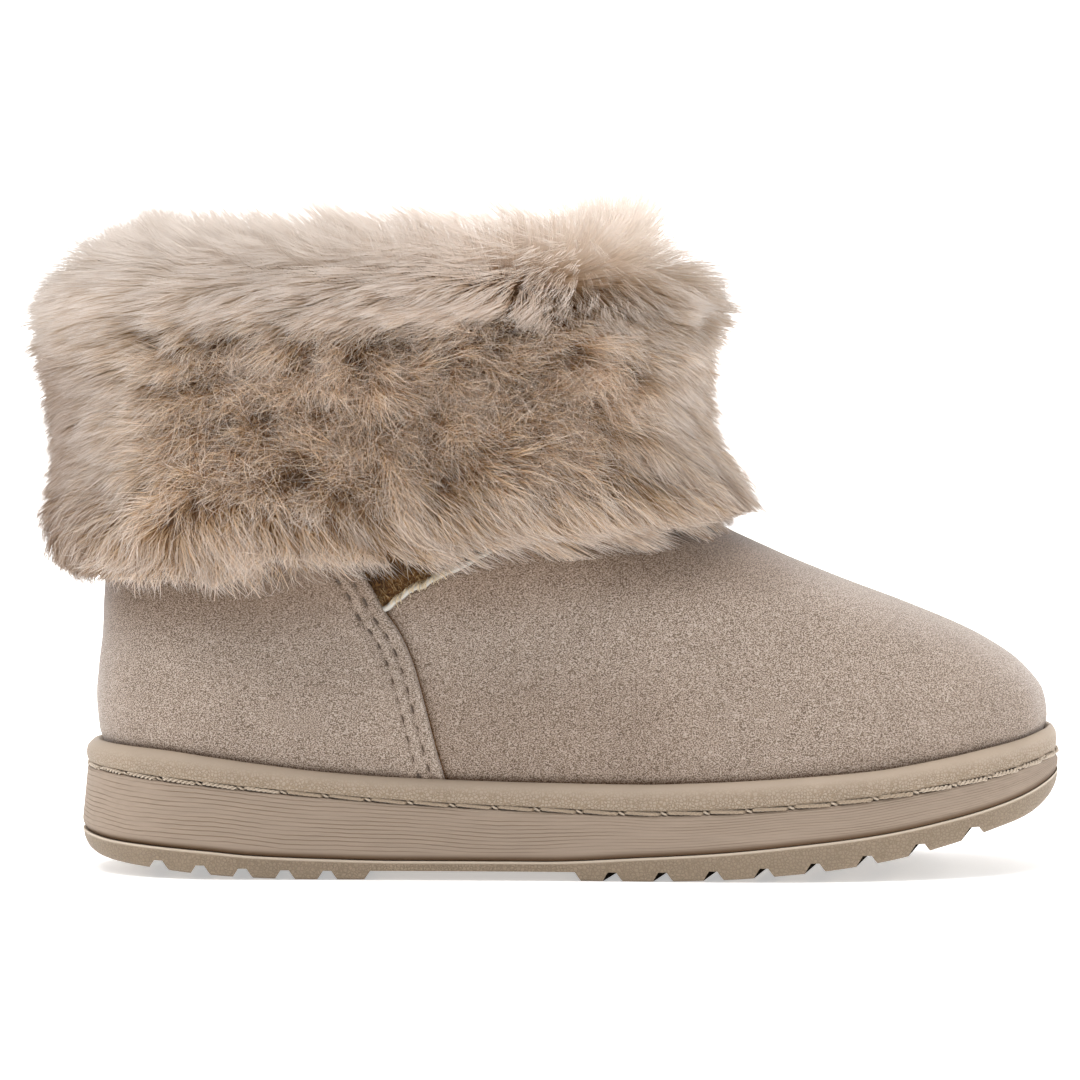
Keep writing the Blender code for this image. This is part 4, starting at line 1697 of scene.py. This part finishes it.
# The tufts and partings on the outer side, from the back to the front of the cuff
STROKES = tuple(Stroke(*row) for row in (
    (12.5, 115.0, 4.5, -6.0, 2.0, 0.0, 0.08), (17.6, 114.0, 2.6, -3.0, 0.0, -0.2, -0.12),
    (23.0, 116.0, 4.5, -6.0, 3.0, 0.05, 0.1), (14.5, 106.0, 3.4, -3.0, -3.0, -0.35, -0.25),
    (20.5, 107.5, 3.6, -2.0, -5.0, 0.08, 0.05), (29.0, 109.0, 4.5, -1.0, -5.0, 0.1, 0.08),
    (38.5, 108.5, 4.5, -1.0, -5.0, 0.1, 0.1), (33.5, 102.5, 4.0, 0.0, -4.0, -0.12, -0.2),
    (46.0, 107.0, 4.5, -3.0, -5.0, 0.08, 0.08), (24.0, 98.0, 5.0, -2.0, -4.0, 0.04, 0.05),
    (29.5, 95.5, 4.5, -1.0, -3.0, -0.28, -0.35), (76.0, 117.5, 5.0, -7.0, -1.0, 0.08, 0.12),
    (65.0, 112.5, 5.0, -6.0, -3.0, 0.12, 0.16), (55.5, 106.0, 4.5, -4.0, -6.0, 0.16, 0.16),
    (51.0, 97.0, 4.5, -1.0, -7.5, 0.12, 0.14), (50.0, 90.0, 4.5, 1.0, -6.0, 0.04, 0.06),
    (60.5, 96.0, 4.8, 5.0, -1.0, 0.12, 0.22), (61.0, 103.5, 3.8, 3.0, 1.0, -0.25, -0.25),
    (64.5, 90.3, 5.2, 4.0, -2.0, -0.36, -0.4), (72.0, 95.0, 4.5, 5.0, -2.0, 0.0, 0.06),
    (81.0, 92.5, 5.0, 1.0, -3.0, -0.28, -0.35), (76.5, 105.8, 4.2, 2.0, -4.0, 0.16, 0.25),
    (85.5, 112.5, 4.0, -4.0, -2.0, 0.06, 0.15), (91.5, 114.0, 3.6, -4.0, -1.0, 0.06, 0.15),
    (87.0, 104.0, 5.5, 2.0, -2.5, -0.25, -0.3), (100.5, 111.0, 4.5, -2.0, -3.0, -0.08, -0.1),
    (95.0, 102.0, 4.5, 5.5, 0.5, 0.16, 0.14), (102.0, 99.5, 4.2, 5.5, -4.0, 0.18, 0.16),
    (106.5, 93.5, 4.2, 3.0, -7.0, 0.12, 0.1), (97.0, 95.0, 4.0, 2.0, -3.0, -0.2, -0.22),
    (37.5, 81.0, 4.5, -2.0, -4.0, -0.25, -0.3), (45.0, 84.5, 4.5, -2.0, -5.0, 0.08, 0.1),
    (53.5, 73.5, 5.0, -1.0, -4.0, -0.28, -0.35), (61.0, 80.5, 5.0, -3.0, -3.0, 0.12, 0.16),
    (71.5, 78.5, 5.2, 1.0, -3.0, -0.28, -0.35), (82.0, 83.0, 5.0, 2.5, -4.0, 0.08, 0.1),
    (91.0, 85.5, 4.5, 5.0, -2.5, 0.04, 0.06), (108.5, 82.0, 2.6, 4.5, -6.0, -0.25, -0.3),
    (118.0, 89.5, 2.6, 4.0, -6.0, -0.25, -0.3), (117.0, 79.5, 2.6, 4.5, -6.0, -0.25, -0.25),
    (8.0, 76.0, 3.4, -4.0, -3.0, -0.2, -0.2), (22.0, 84.0, 5.0, -4.5, -4.0, 0.04, 0.06),
))


@dataclass(frozen=True)
class Zones:
    """Where places on the cuff lie, each zone as a weight from 0 to 1.

    Attributes:
        station: along the boot, in millimetres.
        y: across the boot.
        height: above the ground.
        along: up the cuff.
        outer: the outer side.
        sides: 1 on the outer side, 0 in the middle of the heel and the toe, and -1 on the inner side.
        top: where the fur is laid down along the rim.
        pale: where the pile is painted paler, its tips' colour reaching further down.
        middle: the ruffled middle of the outer side.
        low: the outer side near the hem.
    """

    station: Array
    y: Array
    height: Array
    along: Array
    outer: Array
    sides: Array
    top: Array
    pale: Array
    middle: Array
    low: Array


@dataclass
class FurCuff(SubAssembly):
    """The fold-down cuff of long pile: its knitted backing, and fibres gathered in tufts and finer locks."""

    # Bands along the cuff: the piece's name, its fibres, the points of a fibre, how far from the root they
    # start, and where the band ends
    bands: tuple[tuple[str, int, int, float, float], ...] = (
        ("fur_lower", 30000, 4, 0.35, 12.5),
        ("fur_middle_low", 47000, 3, 0.42, 25.0),
        ("fur_middle_high", 47000, 3, 0.42, 37.0),
        ("fur_upper", 35000, 4, 0.15, RIM_START),
        ("fur_rim", 27000, 3, 0.05, RIM_END),
        ("fur_inside", 9000, 3, 0.2, INNER_END),
    )
    seed: int = 7
    tuft: float = 5.2
    lock: float = 1.15
    width: float = 0.17
    crowding: float = 0.33
    # How far the tips lean at random, as locks, as tufts and each on its own
    stray: tuple[float, float, float] = (1.7, 2.1, 2.4)

    def __post_init__(self) -> None:
        """Measures the cuff's way round, to turn lengths into angles."""
        self.angles = np.linspace(-math.pi, math.pi, 1441)
        line = self.form.on_last(self.angles, np.full_like(self.angles, 90.0), 8.0)
        steps = np.linalg.norm(np.diff(line, axis=0), axis=1)
        self.runs = np.concatenate([[0], np.cumsum(steps)]) - steps[:720].sum()
        self.round = steps.sum()

    def angle(self, run: Array) -> Array:
        """Returns the angle at a distance round the cuff, which is 0 at the heel."""
        return np.interp((run - self.runs[0]) % self.round + self.runs[0], self.runs, self.angles)

    def pile(self, run: Array, along: Array) -> Array:
        """Returns how deep the fur is at a place on the cuff."""
        share = smooth(self.form.share(self.angle(run)), 0.1, 0.9)
        return mix(CUFF["heel_pile"](along), CUFF["toe_pile"](along), share)

    def pile_points(self, run: Array, along: Array, depth: Array) -> Array:
        """Points in the pile.

        Args:
            run: round the cuff, in millimetres from the heel.
            along: up the cuff from its hem, over the rim and down inside.
            depth: out from the backing.

        Returns:
            Points in millimetres.
        """
        angle = self.angle(run)
        hem = HEM(self.form.share(angle))
        rise, out = CUFF["rise"](along), CUFF["out"](along)
        d_rise = (CUFF["rise"](along + 0.3) - CUFF["rise"](along - 0.3)) * (RIM_TOP - hem)
        d_out = CUFF["out"](along + 0.3) - CUFF["out"](along - 0.3)
        size = np.maximum(np.hypot(d_rise, d_out), 1e-9)
        height = mix(hem, RIM_TOP, rise)
        lift = -d_out / size * depth
        level = np.clip(height + np.minimum(lift, 0), 40, UPPER_TOP)
        points = self.form.on_last(angle, level, out + d_rise / size * depth)
        points[..., 2] = height + lift
        return points

    def zones(self, run: Array, along: Array) -> Zones:
        """Says where places on the cuff lie.

        Args:
            run: round the cuff.
            along: up the cuff.

        Returns:
            The zones' weights at each place.
        """
        station, y, height = self.pile_points(run, along, self.pile(run, along)).T
        outer = smooth(y, -8.0, -22.0)
        middle = outer * smooth(along, 6.0, 17.0) * smooth(along, 53.0, 30.0)
        return Zones(
            station,
            y,
            height,
            along,
            outer,
            sides=smooth(y, 0.0, -30.0) - smooth(y, 0.0, 30.0),
            top=smooth(along, 36.0, 49.0) * smooth(along, 74.0, 62.0),
            pale=smooth(along, 43.0, 56.0) * smooth(along, 74.0, 62.0),
            middle=middle * smooth(station, 6.0, 26.0) * smooth(station, 118.0, 98.0),
            low=outer * smooth(along, 26.0, 10.0),
        )

    def combed(self, at: Zones) -> tuple[Array, Array]:
        """Combs the whole cuff: down and out from its middle, back along the rim and down at the front end.

        Args:
            at: where the fibres stand.

        Returns:
            How far the tips lean across and up.
        """
        off_middle = (at.station - 62.0) / 45.0
        spread = at.sides * mix(4.8, 2.8, smooth(at.station, 60.0, 80.0)) * off_middle
        across = spread * np.clip(np.abs(off_middle), 0, 1.2) * (1 - 0.6 * smooth(at.along, 38.0, 48.0))
        turning = mix(64.0, 82.0, smooth(at.along, 46.0, 54.0))
        heading = -math.pi * (1 - 0.68 * smooth(at.station, turning, 134.0))
        laid = np.interp(at.station, [45, 80, 92, 118], [7.5, 11, 10, 5])
        across = mix(across, laid * np.cos(heading) * at.sides, at.top)
        falling = at.top * smooth(at.along, 58.0, 44.0) * smooth(at.station, 128.0, 108.0)
        up = np.interp(at.along, *FALL) + 0.6 * laid * np.sin(heading) * falling
        front = smooth(at.station, 85.0, 115.0) * smooth(at.along, 46.0, 34.0) * smooth(at.along, 2.0, 12.0)
        return across - 2.2 * at.sides * front, up - 3.5 * front

    def brushed(self, at: Zones, across: Array, up: Array, lift: Array, tone: Array) -> tuple[Array, ...]:
        """Works in the strokes, where the fur was brushed its own way.

        Args:
            at: where the fibres stand.
            across: how far the tips lean across.
            up: how far the tips lean up.
            lift: the pile's lift.
            tone: its tone.

        Returns:
            The last four, with the strokes in them.
        """
        weights, lean = np.zeros_like(across), np.zeros((len(across), 2))
        for stroke in STROKES:
            near = (at.station - stroke.station) ** 2 + (at.height - stroke.height) ** 2
            weight = at.outer * np.exp(-near / (2 * (stroke.radius * 0.8) ** 2))
            lean += weight[:, None] * np.array([stroke.across, stroke.up])
            weights += weight
            lift = lift + 0.6 * weight * stroke.lift
            # Painted light and shade: a stroke's tone makes its parting darker and its raised tuft paler
            tone = tone + 0.4 * weight * stroke.tone
        share = np.clip(weights, 0, 1) * (1 - 0.7 * at.top) * 0.85
        total = np.maximum(weights, 1e-6)
        return mix(across, lean[:, 0] / total, share), mix(up, lean[:, 1] / total, share), lift, tone

    def flow(self, run: Array, along: Array) -> tuple[Array, ...]:
        """How the fur lies.

        Args:
            run: round the cuff.
            along: up the cuff.

        Returns:
            How far the tips lean across and up, the pile's lift as a share, its tone with painted light and
            shade in it, how unruly it is, how spiky an outline it makes, and how far the tips' paleness is
            painted down.
        """
        at = self.zones(run, along)
        across, up = self.combed(at)
        unrest = 0.4 + 0.76 * at.middle + 0.24 * at.low * (1 - at.middle) - 0.29 * at.top
        unrest = unrest - 0.2 * smooth(at.station, 32.0, 6.0) * (1 - at.top)
        noise = np.stack([run, along * 1.15], -1)
        across = across + unrest * (2.6 * ripple(noise, 17.0, 51) + 2.0 * ripple(noise, 8.0, 52))
        up = up + unrest * (2.4 * ripple(noise, 16.0, 53) + 1.8 * ripple(noise, 8.0, 54))
        lift = 1 + unrest * (0.07 * ripple(noise, 13.0, 55) + 0.06 * ripple(noise, 7.0, 56))
        tone = 0.66 + 0.06 * unrest * ripple(noise, 12.0, 57)
        across, up, lift, tone = self.brushed(at, across, up, lift, tone)
        # Painted light and shade by zone: darker at the heel and toe ends and near the hem, paler over the
        # middle, low towards the heel, and along the top darker at the back and paler towards the front
        ends = 0.25 * smooth(at.station, 16.0, -4.0) + 0.05 * smooth(at.station, 106.0, 124.0)
        tone = tone + 0.11 * at.middle - ends * (1 - at.top) - 0.06 * smooth(along, 28.0, 8.0)
        tone = tone + 0.06 * at.low * smooth(at.station, 46.0, 26.0)
        tone = tone + 0.04 * at.middle * smooth(at.station, 70.0, 90.0)
        tone = tone + at.pale * np.interp(at.station, [10, 60, 105], [-0.08, 0.04, 0.19])
        crest = smooth(along, 48.0, 53.0) * smooth(along, 64.0, 60.0)
        lift = np.clip(lift, 0.66, 1.3) + crest * CREST(at.station) / self.pile(run, along)
        spikes = np.maximum(crest, smooth(np.abs(at.y), 16.0, 6.0) * smooth(along, 52.0, 46.0))
        lean = np.stack([across, up], -1) * (1 - 0.45 * at.middle)[:, None]
        return lean, lift, tone, unrest, spikes, 0.15 - 0.15 * at.middle + 0.65 * at.pale

    def crowd(self, share: Array) -> Array:
        """Returns how much closer than the mean the fibres stand, at shares of the way round."""
        return 1 / (1 - self.crowding * np.sin(TURN * share))

    def scatter(
        self, count: int, low: float, high: float, rng: np.random.Generator, crowded: bool = True
    ) -> tuple[Array, Array, Array]:
        """Scatters places evenly over a band of the cuff, closer together on the outer side.

        Args:
            count: how many.
            low: where the band starts along the cuff.
            high: where it ends.
            rng: the source of chance.
            crowded: whether the outer side has more.

        Returns:
            The distances round and along the cuff, and how crowded it is there.
        """
        strata = np.arange(count)
        share = (strata * (math.sqrt(5) - 1) / 2 + rng.uniform(0, 0.4, count)) % 1 - 0.5
        crowd = self.crowd(share) if crowded else np.ones(count)
        if crowded:
            share = share + self.crowding * (np.cos(TURN * share) + 1) / TURN
        along = low + (strata + rng.uniform(0, 1, count)) / count * (high - low)
        return share * self.round + rng.normal(0, 0.3, count), along + rng.normal(0, 0.3, count), crowd

    def nearest(self, run: Array, along: Array, spacing: float, rng: np.random.Generator) -> Array:
        """Gathers fibres to the nearest of a field of tuft centres.

        Args:
            run: of each fibre.
            along: of each fibre.
            spacing: between tuft centres.
            rng: the source of chance.

        Returns:
            The tuft centre's distance round and along, and its number, for each fibre.
        """
        low, high = along.min() - spacing, along.max() + spacing
        count = max(4, round(self.round * (high - low) / spacing**2))
        centres = np.column_stack(self.scatter(count, low, high, rng, False)[:2])
        centres += rng.normal(0, spacing * 0.16, centres.shape)
        tree = KDTree(3 * count)
        for turn in (-1, 0, 1):
            for number, (x, y) in enumerate(centres):
                tree.insert((x + turn * self.round, y, 0.0), number)
        tree.balance()
        found = [tree.find((x, y, 0.0)) for x, y in zip(run, along)]
        return np.array([(place[0], place[1], number) for place, number, _ in found])

    def fibres(self, count: int, low: float, high: float, steps: int, start: float, seed: int) -> Fibres:
        """Grows fibres on a band of the cuff.

        Args:
            count: how many.
            low: where the band starts along the cuff.
            high: where it ends.
            steps: how many points a fibre has.
            start: how far from its root it begins to be drawn, as a share of it.
            seed: which draw of chance is used.

        Returns:
            The fibres.
        """
        rng = np.random.default_rng(self.seed * 100 + seed)
        run, along, crowd = self.scatter(count, low, high, rng)
        locks = self.nearest(run, along, self.lock, rng)
        tufts = self.nearest(locks[:, 0], locks[:, 1], self.tuft, rng)
        lock_number, tuft_number = locks[:, 2].astype(int), tufts[:, 2].astype(int)

        def by_group(spread: float, numbers: Array, columns: int = 1) -> Array:
            """Returns random values that a tuft's or a lock's fibres share."""
            return rng.normal(0, spread, (numbers.max() + 1, columns))[numbers]

        lean, lift, tone, unrest, spikes, pale_reach = self.flow(locks[:, 0], locks[:, 1])
        wild = unrest[:, None]
        by_lock, by_tuft, alone = self.stray
        lean = lean + wild * (by_group(by_lock, lock_number, 2) + by_group(by_tuft, tuft_number, 2))
        lean += wild * rng.normal(0, alone, (count, 2))
        uneven = unrest**2 * by_group(0.12, lock_number)[:, 0]
        lift = lift * (1 + uneven + unrest * by_group(0.06, tuft_number)[:, 0])
        lift += spikes * by_group(0.075, lock_number)[:, 0]

        # Fibres are shorter and painted darker towards a lock's or a tuft's edge, and short fibres darker
        # too, as the shade between tufts; those that stand out of a tuft are painted paler
        off_lock, off_tuft = np.stack([run, along], -1) - locks[:, :2], locks[:, :2] - tufts[:, :2]
        for off in (off_lock, off_tuft):
            off[:, 0] = (off[:, 0] + self.round / 2) % self.round - self.round / 2
        from_lock = np.clip(np.linalg.norm(off_lock, axis=1) / self.lock, 0, 1.2)
        from_tuft = np.clip(np.linalg.norm(off_tuft, axis=1) / self.tuft, 0, 1.0)
        short = rng.uniform(0, 1, count)
        inner = 0.3 * (short - 0.5) + 0.22 * (from_lock - 0.55)
        tone = tone + unrest * (rng.normal(0, 0.3, count) - inner)
        tone = tone + unrest**2 * by_group(0.19, lock_number)[:, 0]
        ruffled = np.clip(unrest - 0.36, 0, 1)
        tone = tone - 0.22 * ruffled * (from_tuft - 0.38)

        # Each fibre's way over the cuff: its lean, then in towards its lock and tuft, then its own crimp
        share = np.linspace(start, 1, steps)
        gather = share**1.4
        together = rng.uniform(0.25, 0.9, count) * np.clip(1.1 * unrest + 0.6 * spikes, 0.1, 0.95)
        place = np.stack([run, along], -1)[:, None] + lean[:, None] * (share**1.5)[:, None]
        place = place - off_lock[:, None] * (gather[:, None] * together[:, None, None])
        place = place - off_tuft[:, None] * (gather**1.3)[:, None] * (0.1 + 0.38 * unrest)[:, None, None]
        place[:, 1:] += rng.normal(0, 0.65, (count, steps - 1, 2)) * (wild * share[1:])[..., None]
        phase, pace = rng.uniform(0, TURN, (count, 1)), rng.uniform(4.0, 8.0, (count, 1))
        curl = rng.uniform(0.1, 0.7, (count, 1)) * share * wild
        place[..., 0] += curl * np.sin(share * pace + phase)
        place[..., 1] += curl * np.cos(share * pace * 1.1 + phase)

        # Its way up through the pile, and how its ribbon faces
        own = lift * (1.07 - (0.1 + 0.36 * unrest) * short * (1 - pale_reach) - 0.2 * from_tuft * ruffled)
        own = own * (1.04 - 0.26 * from_lock * unrest)
        depth = self.pile(place[..., 0], place[..., 1]) * (1 - (1 - share) ** 1.55) * own[:, None]
        paths = self.pile_points(place[..., 0], place[..., 1], depth)
        foot = self.pile_points(run, along, np.zeros(count))
        outward = self.pile_points(run, along, np.ones(count)) - foot
        rounded = (foot - self.pile_points(locks[:, 0], locks[:, 1], np.zeros(count))) / self.lock
        rounded += (foot - self.pile_points(tufts[:, 0], tufts[:, 1], np.zeros(count))) / self.tuft
        outward = unit(outward + 0.9 * wild * rounded)
        widths = self.width * rng.uniform(0.75, 1.25, count) / np.sqrt(crowd)
        turns = rng.normal(0, 0.5, count) * (0.4 + 0.6 * unrest)
        # Where the pile is painted paler, the tips' colour is pushed further down the fibres: painted light
        ramp_along = share + (1 - share) * pale_reach[:, None]
        return Fibres(paths, outward, widths, turns, np.clip(tone, 0, 1), ramp_along, 0.78)

    def build_backing(self) -> None:
        """Builds the knitted ground of the fur, from the hem over the rim and down inside."""

        def place(across: Array, up: Array) -> Array:
            """Returns the ground's points."""
            return self.pile_points((across - 0.5) * self.round, mix(-0.5, INNER_END, up), np.zeros_like(up))

        piece = Sheet("fur_backing", 120, 40).lay(self.form, place)
        self.fit(piece, KnitBacking("fur_ground_knit", "#6b543f", "#957a60").material(), Slot.FUR, "fur_cuff")

    def build(self) -> None:
        """Builds and dresses the cuff."""
        self.build_backing()
        fur = PileFibre("tipped_acrylic_fur", "#8d5728", "#d8bc99", "#ede4dc", "#b37f4a").material()
        low = 0.0
        for number, (name, count, steps, start, high) in enumerate(self.bands):
            band = self.fibres(count, low, high, steps, start, number)
            self.fit(band.joined(name, self.form), fur, Slot.FUR)
            low = high


# ---------------- the studio


@dataclass
class Studio:
    """A backlit white sweep, soft light from all round, and the camera.

    Attributes:
        target: what the camera looks at, in metres.
        elevation: how far above level it stands, in degrees.
        distance: from the camera to its target.
        frame_width: how much it sees at the target.
        sensor: the sensor's width, in millimetres.
        surround: how bright the white all round is.
    """

    target: tuple[float, float, float] = (-0.0017, 0.0, 0.0635)
    elevation: float = 3.0
    distance: float = 1.4
    frame_width: float = 0.2097
    sensor: float = 36.0
    surround: float = 0.3
    # Soft square lamps: name, place, side, watts, colour, and what each points at where it isn't the boot
    lamps: tuple[tuple, ...] = (
        ("overhead_softbox", (-0.3, -0.35, 1.6), 1.3, 30.0, "#fffdfb", None),
        ("front_fill", (0.3, -1.9, 0.6), 1.2, 4.0, "#ffffff", None),
        ("left_strip", (-1.5, 0.25, 0.6), 0.9, 7.5, "#ffffff", None),
        ("right_strip", (1.5, 0.25, 0.6), 0.9, 11.5, "#ffffff", None),
        ("backdrop_light", (0.0, 0.8, 1.5), 1.0, 30.0, "#ffffff", (0.0, 2.3, 0.4)),
    )

    def build_sweep(self) -> None:
        """Lays the acrylic: a floor that curves up behind the boot."""
        bend_start, radius = 1.4, 0.9

        def place(across: Array, up: Array) -> Array:
            """Returns the sweep's points."""
            run = mix(-2.6, 4.2, up)
            turn = np.clip((run - bend_start) / radius, 0, math.pi / 2)
            y = np.where(run < bend_start, run, bend_start + radius * np.sin(turn))
            climb = radius * (1 - np.cos(turn)) + np.clip(run - bend_start - radius * math.pi / 2, 0, None)
            return np.stack([mix(-4.0, 4.0, across), y, climb], -1) / MM

        origin = BootForm(0.0, 1.0)
        floor = Sheet("acrylic_sweep", 8, 60).lay(origin, place)
        floor.data.materials.append(OpalAcrylic().material())

    def hang(self, data: bpy.types.ID, place: Sequence[float], way: Vector) -> Object:
        """Puts a lamp or a camera in the scene.

        Args:
            data: the lamp or the camera.
            place: where it hangs, in metres.
            way: the direction that it points in.

        Returns:
            The object.
        """
        holder = bpy.data.objects.new(data.name, data)
        holder.location = place
        holder.rotation_mode = "QUATERNION"
        holder.rotation_quaternion = way.to_track_quat("-Z", "Y")
        bpy.context.scene.collection.objects.link(holder)
        return holder

    def build_lights(self) -> None:
        """Hangs the lamps and lights the surround."""
        for name, place, size, power, colour, aim in self.lamps:
            lamp = bpy.data.lights.new(name, "AREA")
            lamp.shape, lamp.size, lamp.energy, lamp.color = "SQUARE", size, power, linear(colour)[:3]
            self.hang(lamp, place, Vector(aim or self.target) - Vector(place))
        world = bpy.data.worlds.new("white_surround")
        world.use_nodes = True
        surround = world.node_tree.nodes["Background"].inputs
        surround["Color"].default_value, surround["Strength"].default_value = linear("#ffffff"), self.surround
        bpy.context.scene.world = world

    def build_camera(self) -> None:
        """Sets up the camera."""
        lens = bpy.data.cameras.new("camera")
        lens.sensor_width = self.sensor
        lens.lens = self.sensor * self.distance / self.frame_width
        lens.clip_start, lens.clip_end = 0.05, 20.0
        tilt = math.radians(self.elevation)
        back = Vector((0.0, -math.cos(tilt), math.sin(tilt)))
        place = Vector(self.target) + back * self.distance
        bpy.context.scene.camera = self.hang(lens, place, -back)

    def build(self) -> None:
        """Sets up the sweep, the lights and the camera."""
        view = bpy.context.scene.view_settings
        view.view_transform, view.look = "Standard", "None"
        self.build_sweep()
        self.build_lights()
        self.build_camera()


def main() -> None:
    """Builds the boot and its studio."""
    logging.basicConfig(level=logging.INFO, stream=sys.stdout, format="%(name)s: %(message)s")
    form = BootForm.from_frame()
    Studio().build()
    for part in (Outsole(form), Midsole(form), Welt(form), Footbed(form), Upper(form), FurCuff(form)):
        LOG.info("building %s", type(part).__name__)
        part.build()


if __name__ == "__main__":
    main()
